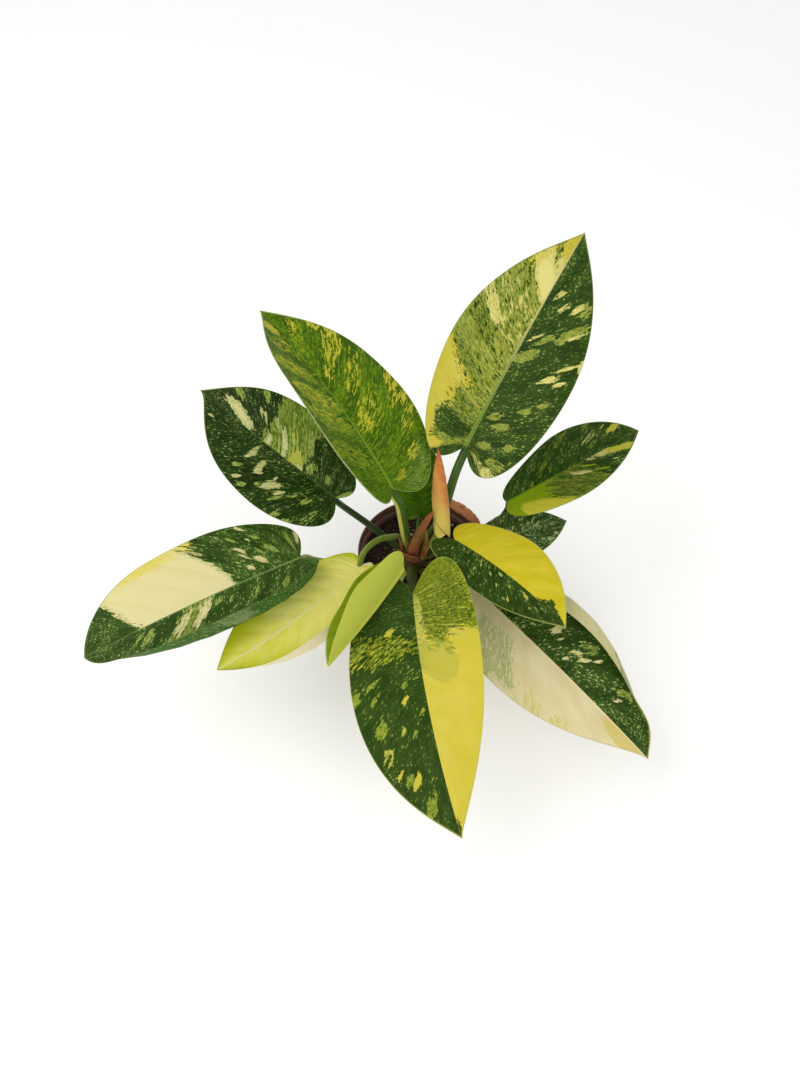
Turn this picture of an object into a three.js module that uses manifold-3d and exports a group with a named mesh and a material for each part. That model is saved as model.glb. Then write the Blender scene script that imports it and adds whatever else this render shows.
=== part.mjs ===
// Potted variegated green congo philodendron: a nursery pot of soil, a short stem, twelve open
// leaves, one leaf still rolled and the papery sheaths round the crown.
// Millimetres, +Z up. The origin is the middle of the pot's underside; -Y is the plant's front.

import * as THREE from 'three';
import { mergeVertices } from 'three/addons/utils/BufferGeometryUtils.js';
import Module from 'manifold-3d';

const wasm = await Module();
wasm.setup();

// Driving dimensions of the pot and its soil
const POT_HEIGHT = 108;
const RIM_RADIUS = 59.5;
const RIM_LIP = 1.8;
const RIM_DEPTH = 9;
const BASE_RADIUS = 42;
const POT_WALL = 1.6;
const FLOOR_THICKNESS = 2.4;
const HOLE_RADIUS = 4;
const HOLE_CIRCLE = 27;
const HOLE_COUNT = 6;
const SOIL_LEVEL = 94;
const SOIL_SLOPE = 1.6;
const TURNED_SIDES = 48;

// Driving dimensions of the stem, which leans on nothing and stands in a plain hole in the soil
const STEM_X = -6;
const STEM_Y = -14;
const STEM_RADIUS = 8.5;
const STEM_FOOT = 58;
const STEM_TOP = 125.5;

// The gap kept between solids that touch on the real plant
const CLEARANCE = 0.3;

// Blades: half thickness at the margin and in the middle, and the depth of the midrib's keel
const BLADE_HALF = 0.42;
const KEEL_DEPTH = 2.2;
const KEEL_WIDTH = 3.2;
const BLADE_ROWS = 15;
const FAN_END = 0.9;
const ROW_LEAN = 1.3;
const TIP_REACH = 0.15;
const STALK_SIDES = 8;
const STALK_STEPS = 13;

// Colours read from the photograph
const COLOURS = {
  pot: 0x6a4034,
  soil: 0x2b1f1a,
  stem: 0x4a2f25,
  darkLeaf: 0x24481d,
  brightLeaf: 0x5e8a16,
  yellowLeaf: 0xc9bd2c,
  limeLeaf: 0xb5b83a,
  creamLeaf: 0xd9cfa0,
  newLeaf: 0xe0a85c,
  sheath: 0x9a5238,
};

const DEGREE = Math.PI / 180;

// Each leaf: where the stalk meets the blade, the way the midrib runs, how far it swings, climbs and
// droops, the blade's size, and what each half does. Left and right are seen from the stalk.
// heading, swing, pitch, droop, fold, curl and rim are degrees; lobe, low, wide and taper are shares.
// A stalk passes through the points listed, from inside the stem to the junction.
const LEAVES = [
  {
    name: 'leaf_01', colour: 'darkLeaf', base: [35.5, 20, 235], length: 208, width: 116,
    heading: 58, swing: -3, pitch: 30, droop: 4, roll: 0, taper: 0.35, fill: 1,
    left: { wide: 1, low: 0.40, lobe: 0.30, fold: 14, curl: -14, taper: 0.5 },
    right: { wide: 1.05, low: 0.30, lobe: 0.32, fold: 14, curl: -14 },
    radius: 4,
    through: [[-2, -11, 112], [-1, -9.5, 127], [11, -4, 148], [20.5, 3, 177], [28.5, 12, 212]],
  },
  {
    name: 'leaf_02', colour: 'brightLeaf', base: [-26.5, -17, 225], length: 200, width: 108,
    heading: 121, swing: 12, pitch: 20, droop: 8, roll: 8, taper: 0.45, fill: 1,
    left: { wide: 1, low: 0.37, lobe: 0.26, fold: 25, curl: 20, taper: 0.6 },
    right: { wide: 1.15, low: 0.28, lobe: 0.24, fold: 5, curl: -8 },
    radius: 4.2,
    through: [[-8.5, -11.5, 117], [-12, -8, 128], [-15, -9, 148], [-17.5, -12, 174], [-21, -16, 204]],
  },
  {
    name: 'leaf_03', colour: 'darkLeaf', base: [-77.5, 10.5, 175], length: 177, width: 112,
    heading: 141, swing: -5, pitch: 8, droop: 6, roll: 0, taper: 0.5, fill: 1,
    left: { wide: 1, low: 0.20, lobe: 0.28, fold: 10, curl: -15, taper: 0.9 },
    right: { wide: 0.92, low: 0.42, lobe: 0.24, fold: 20, curl: -15 },
    radius: 3.2,
    through: [[-9, -12, 103], [-24.5, 3, 112], [-38.5, 10.5, 121], [-54, 17, 132], [-70, 19, 149]],
  },
  {
    name: 'leaf_04', colour: 'darkLeaf', base: [-107.5, -36.5, 150], length: 198, width: 118,
    heading: -152, swing: 0, pitch: 2, droop: 10, roll: 0, taper: 0, fill: 0.85,
    left: { wide: 0.93, low: 0.40, lobe: 0.25, fold: 0, curl: 5, rim: 100, reach: 0.38, rimEnd: 1.05 },
    right: { wide: 1.06, low: 0.30, lobe: 0.20, fold: 10, curl: -15 },
    radius: 3.6,
    through: [[-8, -18, 103], [-8.5, -33, 100.5], [-15, -37, 101], [-27, -31, 105], [-52, -25, 116],
      [-80, -26, 124], [-98, -29, 135], [-104, -32, 143]],
  },
  {
    name: 'leaf_05', colour: 'limeLeaf', base: [-56.5, -39, 140], length: 152, width: 93,
    heading: -132, swing: -20, pitch: -4, droop: 6, roll: 0, taper: 0.35, fill: 1,
    left: { wide: 1.1, low: 0.45, lobe: 0.24, fold: 5, curl: 0, rim: 105, reach: 0.36, rimEnd: 1.2 },
    right: { wide: 0.86, low: 0.45, lobe: 0.22, fold: 10, curl: -15 },
    radius: 2.8,
    through: [[-9, -10, 110], [-12.5, -3.5, 116], [-17, -0.5, 124], [-21, -1, 131], [-29, -8, 141],
      [-38, -16, 149], [-46, -24, 151.5], [-52, -31, 149]],
  },
  {
    name: 'leaf_06', colour: 'limeLeaf', base: [-18, -62, 170], length: 106, width: 54,
    heading: -118, swing: -12, pitch: 2, droop: 10, roll: 35, taper: 0, fill: 0.85,
    left: { wide: 1.04, low: 0.25, lobe: 0.28, fold: 62, curl: 55 },
    right: { wide: 1.1, low: 0.32, lobe: 0.28, fold: 15, curl: 30 },
    radius: 2.8,
    through: [[-11, -15, 108], [-17, -22, 109.5], [-21, -34, 113], [-21, -47, 124], [-19.5, -56, 145]],
  },
  {
    name: 'leaf_07', colour: 'yellowLeaf', base: [-9, -80.5, 161.5], length: 202, width: 120,
    heading: -87, swing: 18, pitch: -5, droop: 30, roll: 0, taper: 0.45, fill: 1,
    left: { wide: 0.87, low: 0.24, lobe: 0.41, fold: 25, curl: -15 },
    right: { wide: 1, low: 0.40, lobe: 0.30, fold: 10, curl: -15 },
    radius: 4.8,
    through: [[-6, -18, 112], [-8.8, -26, 117], [-9.2, -49, 135], [-9, -69, 151]],
  },
  {
    name: 'leaf_08', colour: 'yellowLeaf', base: [28, -27, 164], length: 123, width: 83,
    heading: -38, swing: 0, pitch: 5, droop: 35, roll: 0, taper: 0.35, fill: 1,
    left: { wide: 0.97, low: 0.45, lobe: 0.24, fold: 10, curl: -15 },
    right: { wide: 0.8, low: 0.42, lobe: 0.38, fold: 10, curl: -15 },
    radius: 3,
    through: [[-1, -14.5, 115], [9, -14.5, 123], [20, -20.5, 144]],
  },
  {
    name: 'leaf_09', colour: 'creamLeaf', base: [40, -41, 120], length: 220, width: 118,
    heading: -44, swing: 0, pitch: -8, droop: 12, roll: 0, taper: 0.45, fill: 1,
    left: { wide: 1.23, low: 0.57, lobe: 0.27, fold: 15, curl: 0, rim: 145, reach: 0.36, rimEnd: 1, taper: 0.3 },
    right: { wide: 0.96, low: 0.28, lobe: 0.30, fold: 10, curl: -15, taper: 0.75 },
    radius: 3.6,
    through: [[-1, -19, 103], [5, -25, 104.5], [13, -30, 107], [27, -37, 112]],
  },
  {
    name: 'leaf_10', colour: 'darkLeaf', base: [76.5, 10, 170], length: 140, width: 80,
    heading: 25.5, swing: 5, pitch: 13, droop: 8, roll: 0, taper: 0.35, fill: 1,
    left: { wide: 0.96, low: 0.50, lobe: 0.12, fold: 10, curl: -15 },
    right: { wide: 0.80, low: 0.20, lobe: 0.20, fold: 10, curl: -15, taper: 0.45 },
    radius: 3,
    through: [[-1, -10, 104], [12, -6.5, 107], [28, -4, 111], [52, 2, 120], [71, 12, 137], [78, 13.5, 155]],
  },
  {
    name: 'leaf_11', colour: 'darkLeaf', base: [54, -26, 153.5], length: 82, width: 50,
    heading: 20, swing: 0, pitch: 5, droop: 12, roll: 0, taper: 0.35, fill: 1,
    left: { wide: 1, low: 0.45, lobe: 0.30, fold: 10, curl: -15 },
    right: { wide: 1, low: 0.45, lobe: 0.30, fold: 10, curl: -15 },
    radius: 2.6,
    through: [[-1, -15, 106], [4.5, -16, 107.5], [15, -18.5, 113.5], [29, -23, 129], [42, -26.5, 145]],
  },
  {
    name: 'leaf_12', colour: 'brightLeaf', base: [-0.5, 13.5, 150], length: 84, width: 54,
    heading: 94, swing: 0, pitch: 66, droop: -6, roll: 0, taper: 0.35, fill: 1,
    left: { wide: 1, low: 0.45, lobe: 0.30, fold: 10, curl: -15 },
    right: { wide: 0.65, low: 0.45, lobe: 0.30, fold: 10, curl: -15 },
    radius: 3,
    through: [[-4, -9, 108], [-3.5, -3, 115], [-2.5, 4, 128]],
  },
];

// The new leaf: its rolled blade is a spindle whose outer margin stands proud as one step
const NEW_LEAF = {
  foot: [17, -16, 161.5],
  tip: [12, 13, 241],
  radius: 8.2,
  step: 1.5,
  lobeDrop: 5,
  stalkRadius: 2.4,
  through: [[-1, -17.5, 118], [1.2, -17, 127], [6.5, -15, 138], [11.5, -14, 150]],
};

// The sheaths stand round the crown. Each has a spine of base, middle and tip, its widest half
// width, the share of a full turn it wraps, and the way its open side looks.
const SHEATHS = [
  { name: 'cataphyll_01', base: [-8, -16.5, 126.6], middle: [-5.2, -16, 158], tip: [8.5, -16.5, 191],
    radius: 4.6, wrap: 0.55, open: [0.4, 1, 0.1] },
  { name: 'cataphyll_02', base: [-15.6, -12.9, 120], middle: [-18, -11.5, 132], tip: [-20.4, -7.5, 140],
    radius: 1.8, wrap: 0.4, open: [1, 0.6, 0.2] },
  { name: 'cataphyll_04', base: [1.3, -17, 127], middle: [6, -16.2, 142], tip: [3.5, -10, 156],
    radius: 3.4, wrap: 0.5, open: [0.8, 0.6, 0.1] },
];
const SHEATH_HALF = 0.45;
const SHEATH_STEPS = 9;
const SHEATH_ARC_STEPS = 6;

// The collar is the lowest sheath: it hugs the stem from its front to its left, where it flares
const COLLAR = { from: 292, to: 172, radius: 9.6, flare: 6.5, low: 122.5, high: 131, point: 127 };

// The dried sheath that lies along the rim at the back
const DRIED_SHEATH = { start: 27, end: 72, radius: 61.5, halfWidth: 5.5, thickness: 1, sag: 1.4 };

// Small helpers

const vector = (values) => new THREE.Vector3(...values);

const material = (colour, roughness) =>
  new THREE.MeshStandardMaterial({ color: COLOURS[colour], roughness, metalness: 0 });

// A closed mesh from points and triangles: points that fall together are merged, and triangles that
// merging flattened to a line are dropped.
function closedGeometry(points, triangles) {
  const raw = new THREE.BufferGeometry();
  raw.setAttribute('position', new THREE.Float32BufferAttribute(points.flatMap((p) => [p.x, p.y, p.z]), 3));
  raw.setIndex(triangles.flat());
  const merged = mergeVertices(raw, 1e-3);
  const kept = [];
  for (let t = 0; t < merged.index.count; t += 3) {
    const [a, b, c] = [0, 1, 2].map((k) => merged.index.getX(t + k));
    if (a !== b && b !== c && c !== a) kept.push(a, b, c);
  }
  merged.setIndex(kept);
  return merged;
}

function solidOf(geometry) {
  const plain = geometry.clone();
  for (const name of Object.keys(plain.attributes)) {
    if (name !== 'position') plain.deleteAttribute(name);
  }
  const merged = mergeVertices(plain, 1e-4);
  const vertProperties = new Float32Array(merged.attributes.position.array);
  const triVerts = new Uint32Array(merged.index.array);
  return new wasm.Manifold(new wasm.Mesh({ numProp: 3, vertProperties, triVerts }));
}

function geometryOf(solid) {
  const mesh = solid.getMesh();
  const geometry = new THREE.BufferGeometry();
  geometry.setAttribute('position', new THREE.Float32BufferAttribute(mesh.vertProperties, 3));
  geometry.setIndex(Array.from(mesh.triVerts));
  geometry.computeVertexNormals();
  return geometry;
}

function meshNamed(name, geometry, meshMaterial) {
  const mesh = new THREE.Mesh(geometry, meshMaterial);
  mesh.name = name;
  return mesh;
}

// A turned solid about the Z axis from [radius, height] pairs that start and end on the axis
function turned(profile, sides) {
  const geometry = new THREE.LatheGeometry(profile.map(([r, z]) => new THREE.Vector2(r, z)), sides);
  return geometry.rotateX(Math.PI / 2);
}

// A ring of points round a spine point, for stalks and other swept tubes
function ringAt(centre, across, up, radius, sides) {
  return Array.from({ length: sides }, (_, k) => {
    const angle = (2 * Math.PI * k) / sides;
    return centre.clone()
      .addScaledVector(across, radius * Math.cos(angle))
      .addScaledVector(up, radius * Math.sin(angle));
  });
}

// A tube closed by a point at each end, carried along a curve with a radius that follows a rule
function sweptTube(curve, steps, sides, radiusAt) {
  const frames = curve.computeFrenetFrames(steps, false);
  const points = [];
  for (let i = 0; i <= steps; i += 1) {
    const share = i / steps;
    points.push(...ringAt(curve.getPointAt(share), frames.normals[i], frames.binormals[i], radiusAt(share), sides));
  }
  const first = points.push(curve.getPoint(0)) - 1;
  const last = points.push(curve.getPoint(1)) - 1;
  const triangles = [];
  for (let k = 0; k < sides; k += 1) {
    const next = (k + 1) % sides;
    for (let i = 0; i < steps; i += 1) {
      const [a, b] = [i * sides + k, i * sides + next];
      triangles.push([a, b, b + sides], [a, b + sides, a + sides]);
    }
    triangles.push([first, next, k]);
    triangles.push([last, steps * sides + k, steps * sides + next]);
  }
  return closedGeometry(points, triangles);
}

// Pot and soil

function potGeometry() {
  const lip = RIM_RADIUS - RIM_LIP;
  const profile = [
    [0, 0],
    [BASE_RADIUS - 1, 0],
    [BASE_RADIUS, 1],
    [lip - 0.4, POT_HEIGHT - RIM_DEPTH - 1],
    [RIM_RADIUS, POT_HEIGHT - RIM_DEPTH],
    [RIM_RADIUS, POT_HEIGHT - 0.8],
    [RIM_RADIUS - 0.6, POT_HEIGHT],
    [RIM_RADIUS - POT_WALL, POT_HEIGHT],
    [lip - POT_WALL - 0.4, POT_HEIGHT - RIM_DEPTH - 1],
    [BASE_RADIUS - POT_WALL, FLOOR_THICKNESS],
    [0, FLOOR_THICKNESS],
  ];
  let pot = solidOf(turned(profile, TURNED_SIDES));
  for (let k = 0; k < HOLE_COUNT; k += 1) {
    const angle = (2 * Math.PI * (k + 0.5)) / HOLE_COUNT;
    const hole = new THREE.CylinderGeometry(HOLE_RADIUS, HOLE_RADIUS, 4 * FLOOR_THICKNESS, 12).rotateX(Math.PI / 2);
    hole.translate(HOLE_CIRCLE * Math.cos(angle), HOLE_CIRCLE * Math.sin(angle), 0);
    pot = pot.subtract(solidOf(hole));
  }
  return geometryOf(pot);
}

// Inner radius of the pot's wall below the rim at a height
function innerRadius(z) {
  const top = POT_HEIGHT - RIM_DEPTH - 1;
  const topRadius = RIM_RADIUS - RIM_LIP - POT_WALL - 0.4;
  const share = (z - FLOOR_THICKNESS) / (top - FLOOR_THICKNESS);
  return BASE_RADIUS - POT_WALL + share * (topRadius - BASE_RADIUS + POT_WALL);
}

// The soil's surface rises a little to the stem and is lumpy
function soilHeight(x, y) {
  const away = Math.hypot(x - STEM_X, y - STEM_Y) / RIM_RADIUS;
  const lumps = Math.sin(0.31 * x + 1.3) * Math.cos(0.27 * y) + 0.6 * Math.sin(0.62 * x - 0.5 * y);
  return SOIL_LEVEL + SOIL_SLOPE * (1 - away) + 0.7 * lumps;
}

function soilGeometry() {
  const rings = 7;
  const foot = FLOOR_THICKNESS + CLEARANCE;
  const fit = Math.cos(Math.PI / TURNED_SIDES);
  const points = [];
  const ring = (radius, heightAt) => {
    for (let k = 0; k < TURNED_SIDES; k += 1) {
      const angle = (2 * Math.PI * k) / TURNED_SIDES + Math.PI;
      const [x, y] = [radius * Math.sin(angle), radius * Math.cos(angle)];
      points.push(new THREE.Vector3(x, y, heightAt(x, y)));
    }
  };
  const wallRadius = (z) => innerRadius(z) - CLEARANCE / fit;
  ring(wallRadius(foot), () => foot);
  for (let i = 0; i < rings; i += 1) ring(wallRadius(SOIL_LEVEL - 2) * (1 - i / rings), soilHeight);
  const top = points.push(new THREE.Vector3(0, 0, soilHeight(0, 0))) - 1;
  const bottom = points.push(new THREE.Vector3(0, 0, foot)) - 1;
  const triangles = [];
  for (let k = 0; k < TURNED_SIDES; k += 1) {
    const next = (k + 1) % TURNED_SIDES;
    for (let i = 0; i < rings; i += 1) {
      const [a, b] = [i * TURNED_SIDES + k, i * TURNED_SIDES + next];
      triangles.push([a, b + TURNED_SIDES, b], [a, a + TURNED_SIDES, b + TURNED_SIDES]);
    }
    triangles.push([rings * TURNED_SIDES + k, top, rings * TURNED_SIDES + next]);
    triangles.push([k, next, bottom]);
  }
  return geometryOf(solidOf(closedGeometry(points, triangles)).subtract(stemSolid(CLEARANCE)));
}

// Stem

// The stem's turned form, made larger all round by an allowance; old leaf scars ring it
function stemSolid(allowance) {
  const scars = 5;
  const profile = [[0, STEM_FOOT - allowance], [STEM_RADIUS * 0.7 + allowance, STEM_FOOT - allowance]];
  for (let i = 0; i <= 2 * scars; i += 1) {
    const z = STEM_FOOT + 4 + ((STEM_TOP - 3 - STEM_FOOT - 4) * i) / (2 * scars);
    profile.push([STEM_RADIUS + (i % 2 ? 0.3 : -0.3) + allowance, z]);
  }
  profile.push([STEM_RADIUS * 0.72 + allowance, STEM_TOP + allowance], [0, STEM_TOP + 0.6 + allowance]);
  const geometry = turned(profile, 20);
  geometry.translate(STEM_X, STEM_Y, 0);
  return solidOf(geometry);
}

// Blades

const clamp01 = (value) => Math.min(1, Math.max(0, value));

// Half outline at the row angle theta: how far along and how far out the margin is, and where the
// row's vein leaves the midrib. The lobes are the part behind the junction.
function outlineAt(leaf, half, theta) {
  const { length, width, fill } = leaf;
  const taper = half.taper ?? leaf.taper;
  const along = length * ((1 - Math.cos(theta)) / 2 - half.lobe * Math.sin(theta));
  const pointed = 1 - taper * Math.exp(-(length - along) / (TIP_REACH * length));
  const bow = Math.max(0, Math.sin(theta - half.low * Math.sin(theta))) ** fill;
  const out = (width / 2) * half.wide * bow * pointed;
  const vein = length * clamp01((theta - FAN_END) / (Math.PI - FAN_END)) ** 2;
  return { along, out, vein };
}

// The midrib as a chain of frames: from a quarter length behind the junction to the tip
function midribFrames(leaf) {
  const steps = 80;
  const back = 0.25;
  const frames = [];
  const point = new THREE.Vector3();
  const tangentAt = (s) => {
    const azimuth = (leaf.heading + leaf.swing * s) * DEGREE;
    const climb = (leaf.pitch - leaf.droop * s) * DEGREE;
    const level = Math.cos(climb);
    return new THREE.Vector3(level * Math.cos(azimuth), level * Math.sin(azimuth), Math.sin(climb));
  };
  const stride = (1 + back) / steps;
  for (let i = 0; i <= steps; i += 1) {
    const s = -back + stride * i;
    const tangent = tangentAt(s);
    if (i > 0) {
      point.addScaledVector(tangent.clone().add(frames[i - 1].tangent), (stride * leaf.length) / 2);
    }
    const azimuth = (leaf.heading + leaf.swing * s) * DEGREE;
    const flat = new THREE.Vector3(-Math.sin(azimuth), Math.cos(azimuth), 0);
    const upright = tangent.clone().cross(flat);
    const roll = leaf.roll * DEGREE;
    const leftward = flat.clone().multiplyScalar(Math.cos(roll)).addScaledVector(upright, Math.sin(roll));
    const normal = upright.clone().multiplyScalar(Math.cos(roll)).addScaledVector(flat, -Math.sin(roll));
    frames.push({ s, point: point.clone(), tangent, leftward, normal });
  }
  const shift = vector(leaf.base).sub(frameAt(frames, 0).point);
  frames.forEach((frame) => frame.point.add(shift));
  return frames;
}

function frameAt(frames, s) {
  const stride = frames[1].s - frames[0].s;
  const place = Math.min(frames.length - 1.001, Math.max(0, (s - frames[0].s) / stride));
  const [low, share] = [Math.floor(place), place - Math.floor(place)];
  const mix = (key) => frames[low][key].clone().lerp(frames[low + 1][key], share);
  return { point: mix('point'), leftward: mix('leftward'), normal: mix('normal'), tangent: mix('tangent') };
}

// The section of a half blade: its slope angle starts at the fold and bends evenly by the curl. Where
// the margin stands up it is a strip, the share named reach of the half's width, whose inner half
// bends by the rim angle. Walking along the section gives out, up and slope.
function sectionAt(leaf, half, out, edge, s) {
  const steps = 32;
  const rimShare = half.rim ? 1 - clamp01((s - half.rimEnd + 0.25) / 0.25) ** 2 : 0;
  const slopeAt = (y) => {
    let slope = half.fold + (half.curl * y) / (leaf.width / 2);
    if (rimShare > 0 && edge > 0) {
      const bent = clamp01((2 * (y / edge - 1 + half.reach)) / half.reach);
      slope += half.rim * rimShare * bent * bent * (3 - 2 * bent);
    }
    return slope * DEGREE;
  };
  let [across, up] = [0, 0];
  for (let i = 0; i < steps; i += 1) {
    const slope = slopeAt((out * (i + 0.5)) / steps);
    across += (Math.cos(slope) * out) / steps;
    up += (Math.sin(slope) * out) / steps;
  }
  return { across, up, slope: slopeAt(out) };
}

// The faint wave of the margin
function waveAt(leaf, out, s, side) {
  const q = out / (leaf.width / 2);
  return 1.5 * q * q * Math.sin(2 * Math.PI * (1.6 * s + 0.2 + 0.3 * side));
}

// One point of the blade: its place on the middle surface and the surface normal there
function bladePoint(leaf, frames, side, along, out, edge) {
  const s = along / leaf.length;
  const half = side > 0 ? leaf.left : leaf.right;
  const frame = frameAt(frames, s);
  const { across, up, slope } = sectionAt(leaf, half, out, edge, s);
  const place = frame.point.clone()
    .addScaledVector(frame.leftward, side * across)
    .addScaledVector(frame.normal, up + waveAt(leaf, out, s, side));
  if (out < 1e-6) return { place, normal: frame.normal.clone().normalize() };
  const normal = frame.normal.clone().multiplyScalar(Math.cos(slope))
    .addScaledVector(frame.leftward, -side * Math.sin(slope));
  return { place, normal: normal.normalize() };
}

function bladeColumns(half) {
  if (!half.rim) return [0, 0.1, 0.4, 0.72, 1];
  return [0, 0.1, 0.36, ...[1, 0.84, 0.67, 0.5, 0.25, 0].map((share) => 1 - share * half.reach)];
}

// The blade as a closed solid: rows follow the veins from the midrib to the margin, the same on both
// faces, and the keel is the midrib standing out below
function bladeGeometry(leaf, frames) {
  const points = [];
  const triangles = [];
  for (const side of [1, -1]) {
    const half = side > 0 ? leaf.left : leaf.right;
    const columns = bladeColumns(half);
    const count = columns.length;
    const start = points.length;
    for (let i = 0; i <= BLADE_ROWS; i += 1) {
      const { along, out, vein } = outlineAt(leaf, half, (Math.PI * i) / BLADE_ROWS);
      columns.forEach((v, j) => {
        const x = vein + (along - vein) * v ** ROW_LEAN;
        const y = j === 1 ? Math.min(KEEL_WIDTH, out * v) : out * v;
        const { place, normal } = bladePoint(leaf, frames, side, x, y, out);
        const keel = j === 0 ? KEEL_DEPTH * (1 - 0.85 * clamp01(x / leaf.length)) : 0;
        points.push(place.clone().addScaledVector(normal, BLADE_HALF));
        points.push(place.clone().addScaledVector(normal, -BLADE_HALF - keel));
      });
    }
    const at = (i, j, face) => start + 2 * (i * count + j) + face;
    const quad = (a, b, c, d) => {
      triangles.push(side > 0 ? [a, b, c] : [a, c, b], side > 0 ? [a, c, d] : [a, d, c]);
    };
    for (let i = 0; i < BLADE_ROWS; i += 1) {
      for (let j = 0; j < count - 1; j += 1) {
        quad(at(i, j, 0), at(i + 1, j, 0), at(i + 1, j + 1, 0), at(i, j + 1, 0));
        quad(at(i, j, 1), at(i, j + 1, 1), at(i + 1, j + 1, 1), at(i + 1, j, 1));
      }
      quad(at(i, count - 1, 0), at(i + 1, count - 1, 0), at(i + 1, count - 1, 1), at(i, count - 1, 1));
    }
  }
  return closedGeometry(points, triangles);
}

// The stalk: out of the stem on a smooth curve to the junction, then a short way along the keel
function stalkGeometry(leaf, frames, allowance = 0) {
  const joint = frameAt(frames, 0.01);
  const along = frameAt(frames, 0.08);
  const ending = joint.point.clone().addScaledVector(joint.normal, -BLADE_HALF - 0.8 * leaf.radius);
  const beyond = along.point.clone().addScaledVector(along.normal, -BLADE_HALF - 0.5 * KEEL_DEPTH);
  const curve = new THREE.CatmullRomCurve3([...leaf.through.map(vector), ending, beyond], false, 'centripetal');
  const merge = 1 - ending.distanceTo(beyond) / curve.getLength();
  const radiusAt = (share) => {
    const end = share > merge ? 1 - (0.7 * (share - merge)) / (1 - merge) : 1;
    return leaf.radius * end * (1.06 - 0.16 * share) + allowance;
  };
  return sweptTube(curve, STALK_STEPS, STALK_SIDES, radiusAt);
}

function leafMesh(leaf, stemCut) {
  const frames = midribFrames(leaf);
  const whole = solidOf(bladeGeometry(leaf, frames)).add(solidOf(stalkGeometry(leaf, frames)));
  return meshNamed(leaf.name, geometryOf(whole.subtract(stemCut)), material(leaf.colour, 0.35));
}

// The rolled leaf

function newLeafMesh(stemCut) {
  const { foot, tip, radius, step, lobeDrop, stalkRadius, through } = NEW_LEAF;
  const [low, high] = [vector(foot), vector(tip)];
  const up = high.clone().sub(low).normalize();
  const across = new THREE.Vector3(1, 0, 0).addScaledVector(up, -up.x).normalize();
  const toBack = up.clone().cross(across);
  const tall = low.distanceTo(high);
  const sides = 16;
  const steps = 12;
  const points = [];
  for (let i = 0; i < steps; i += 1) {
    const share = i / steps;
    const girth = radius * (1 - share ** 3) * (1 - 0.3 * Math.exp(-share / 0.04));
    const turnShift = 2.6 * share;
    for (let k = 0; k < sides; k += 1) {
      const turn = k / sides;
      const angle = 2 * Math.PI * turn - 1.75 + turnShift;
      const reach = girth * (1 - (step / radius) * turn);
      const lobes = lobeDrop * Math.exp(-share / 0.08) * Math.abs(Math.sin(angle - 0.4));
      points.push(low.clone().addScaledVector(up, share * tall - lobes)
        .addScaledVector(across, reach * Math.cos(angle))
        .addScaledVector(toBack, reach * Math.sin(angle)));
    }
  }
  const bottom = points.push(low.clone().addScaledVector(up, 2)) - 1;
  const top = points.push(high.clone()) - 1;
  const triangles = [];
  for (let k = 0; k < sides; k += 1) {
    const next = (k + 1) % sides;
    for (let i = 0; i < steps - 1; i += 1) {
      const [a, b] = [i * sides + k, i * sides + next];
      triangles.push([a, b, b + sides], [a, b + sides, a + sides]);
    }
    triangles.push([bottom, next, k]);
    triangles.push([top, (steps - 1) * sides + k, (steps - 1) * sides + next]);
  }
  const roll = solidOf(closedGeometry(points, triangles));
  const ending = low.clone().addScaledVector(up, 8);
  const curve = new THREE.CatmullRomCurve3([...through.map(vector), ending], false, 'centripetal');
  const stalk = solidOf(sweptTube(curve, STALK_STEPS, STALK_SIDES, () => stalkRadius));
  return meshNamed('new_leaf', geometryOf(roll.add(stalk).subtract(stemCut)), material('newLeaf', 0.4));
}

// Sheaths

// A papery sheath: part of a tube that narrows to a point, with one side open
function sheathGeometry({ base, middle, tip, radius, wrap, open }) {
  const curve = new THREE.QuadraticBezierCurve3(vector(base), vector(middle), vector(tip));
  const points = [];
  for (let i = 0; i <= SHEATH_STEPS; i += 1) {
    const share = i / SHEATH_STEPS;
    const centre = curve.getPoint(share);
    const tangent = curve.getTangent(share);
    const back = vector(open).addScaledVector(tangent, -vector(open).dot(tangent)).normalize();
    const across = tangent.clone().cross(back);
    const girth = radius * (0.12 + 0.88 * Math.cos((Math.PI * share) / 2) ** 0.6);
    for (let k = 0; k <= SHEATH_ARC_STEPS; k += 1) {
      const angle = 2 * Math.PI * wrap * (k / SHEATH_ARC_STEPS - 0.5);
      const outward = back.clone().multiplyScalar(-Math.cos(angle)).addScaledVector(across, Math.sin(angle));
      const thin = SHEATH_HALF * (1 - 0.5 * share);
      points.push(centre.clone().addScaledVector(outward, girth - thin));
      points.push(centre.clone().addScaledVector(outward, girth + thin));
    }
  }
  return closedSheet(points, SHEATH_STEPS, SHEATH_ARC_STEPS);
}

// The collar as a shell about the stem whose far end flares out to a point
function collarGeometry() {
  const { from, to, radius, flare, low, high, point } = COLLAR;
  const rows = 12;
  const columns = 2;
  const points = [];
  for (let i = 0; i <= rows; i += 1) {
    const share = i / rows;
    const azimuth = (from + (to - from) * share) * DEGREE;
    const shrink = Math.max(0.08, 1 - share ** 3) * Math.min(1, 0.3 + 4 * share);
    const out = radius + flare * share ** 5;
    for (let k = 0; k <= columns; k += 1) {
      const z = point + shrink * (low + ((high - low) * k) / columns - point);
      const lean = out + (1.2 * Math.max(0, z - point)) / (high - point);
      for (const face of [SHEATH_HALF, -SHEATH_HALF]) {
        const r = lean + face;
        points.push(new THREE.Vector3(STEM_X + r * Math.cos(azimuth), STEM_Y + r * Math.sin(azimuth), z));
      }
    }
  }
  return closedSheet(points, rows, columns);
}

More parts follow.
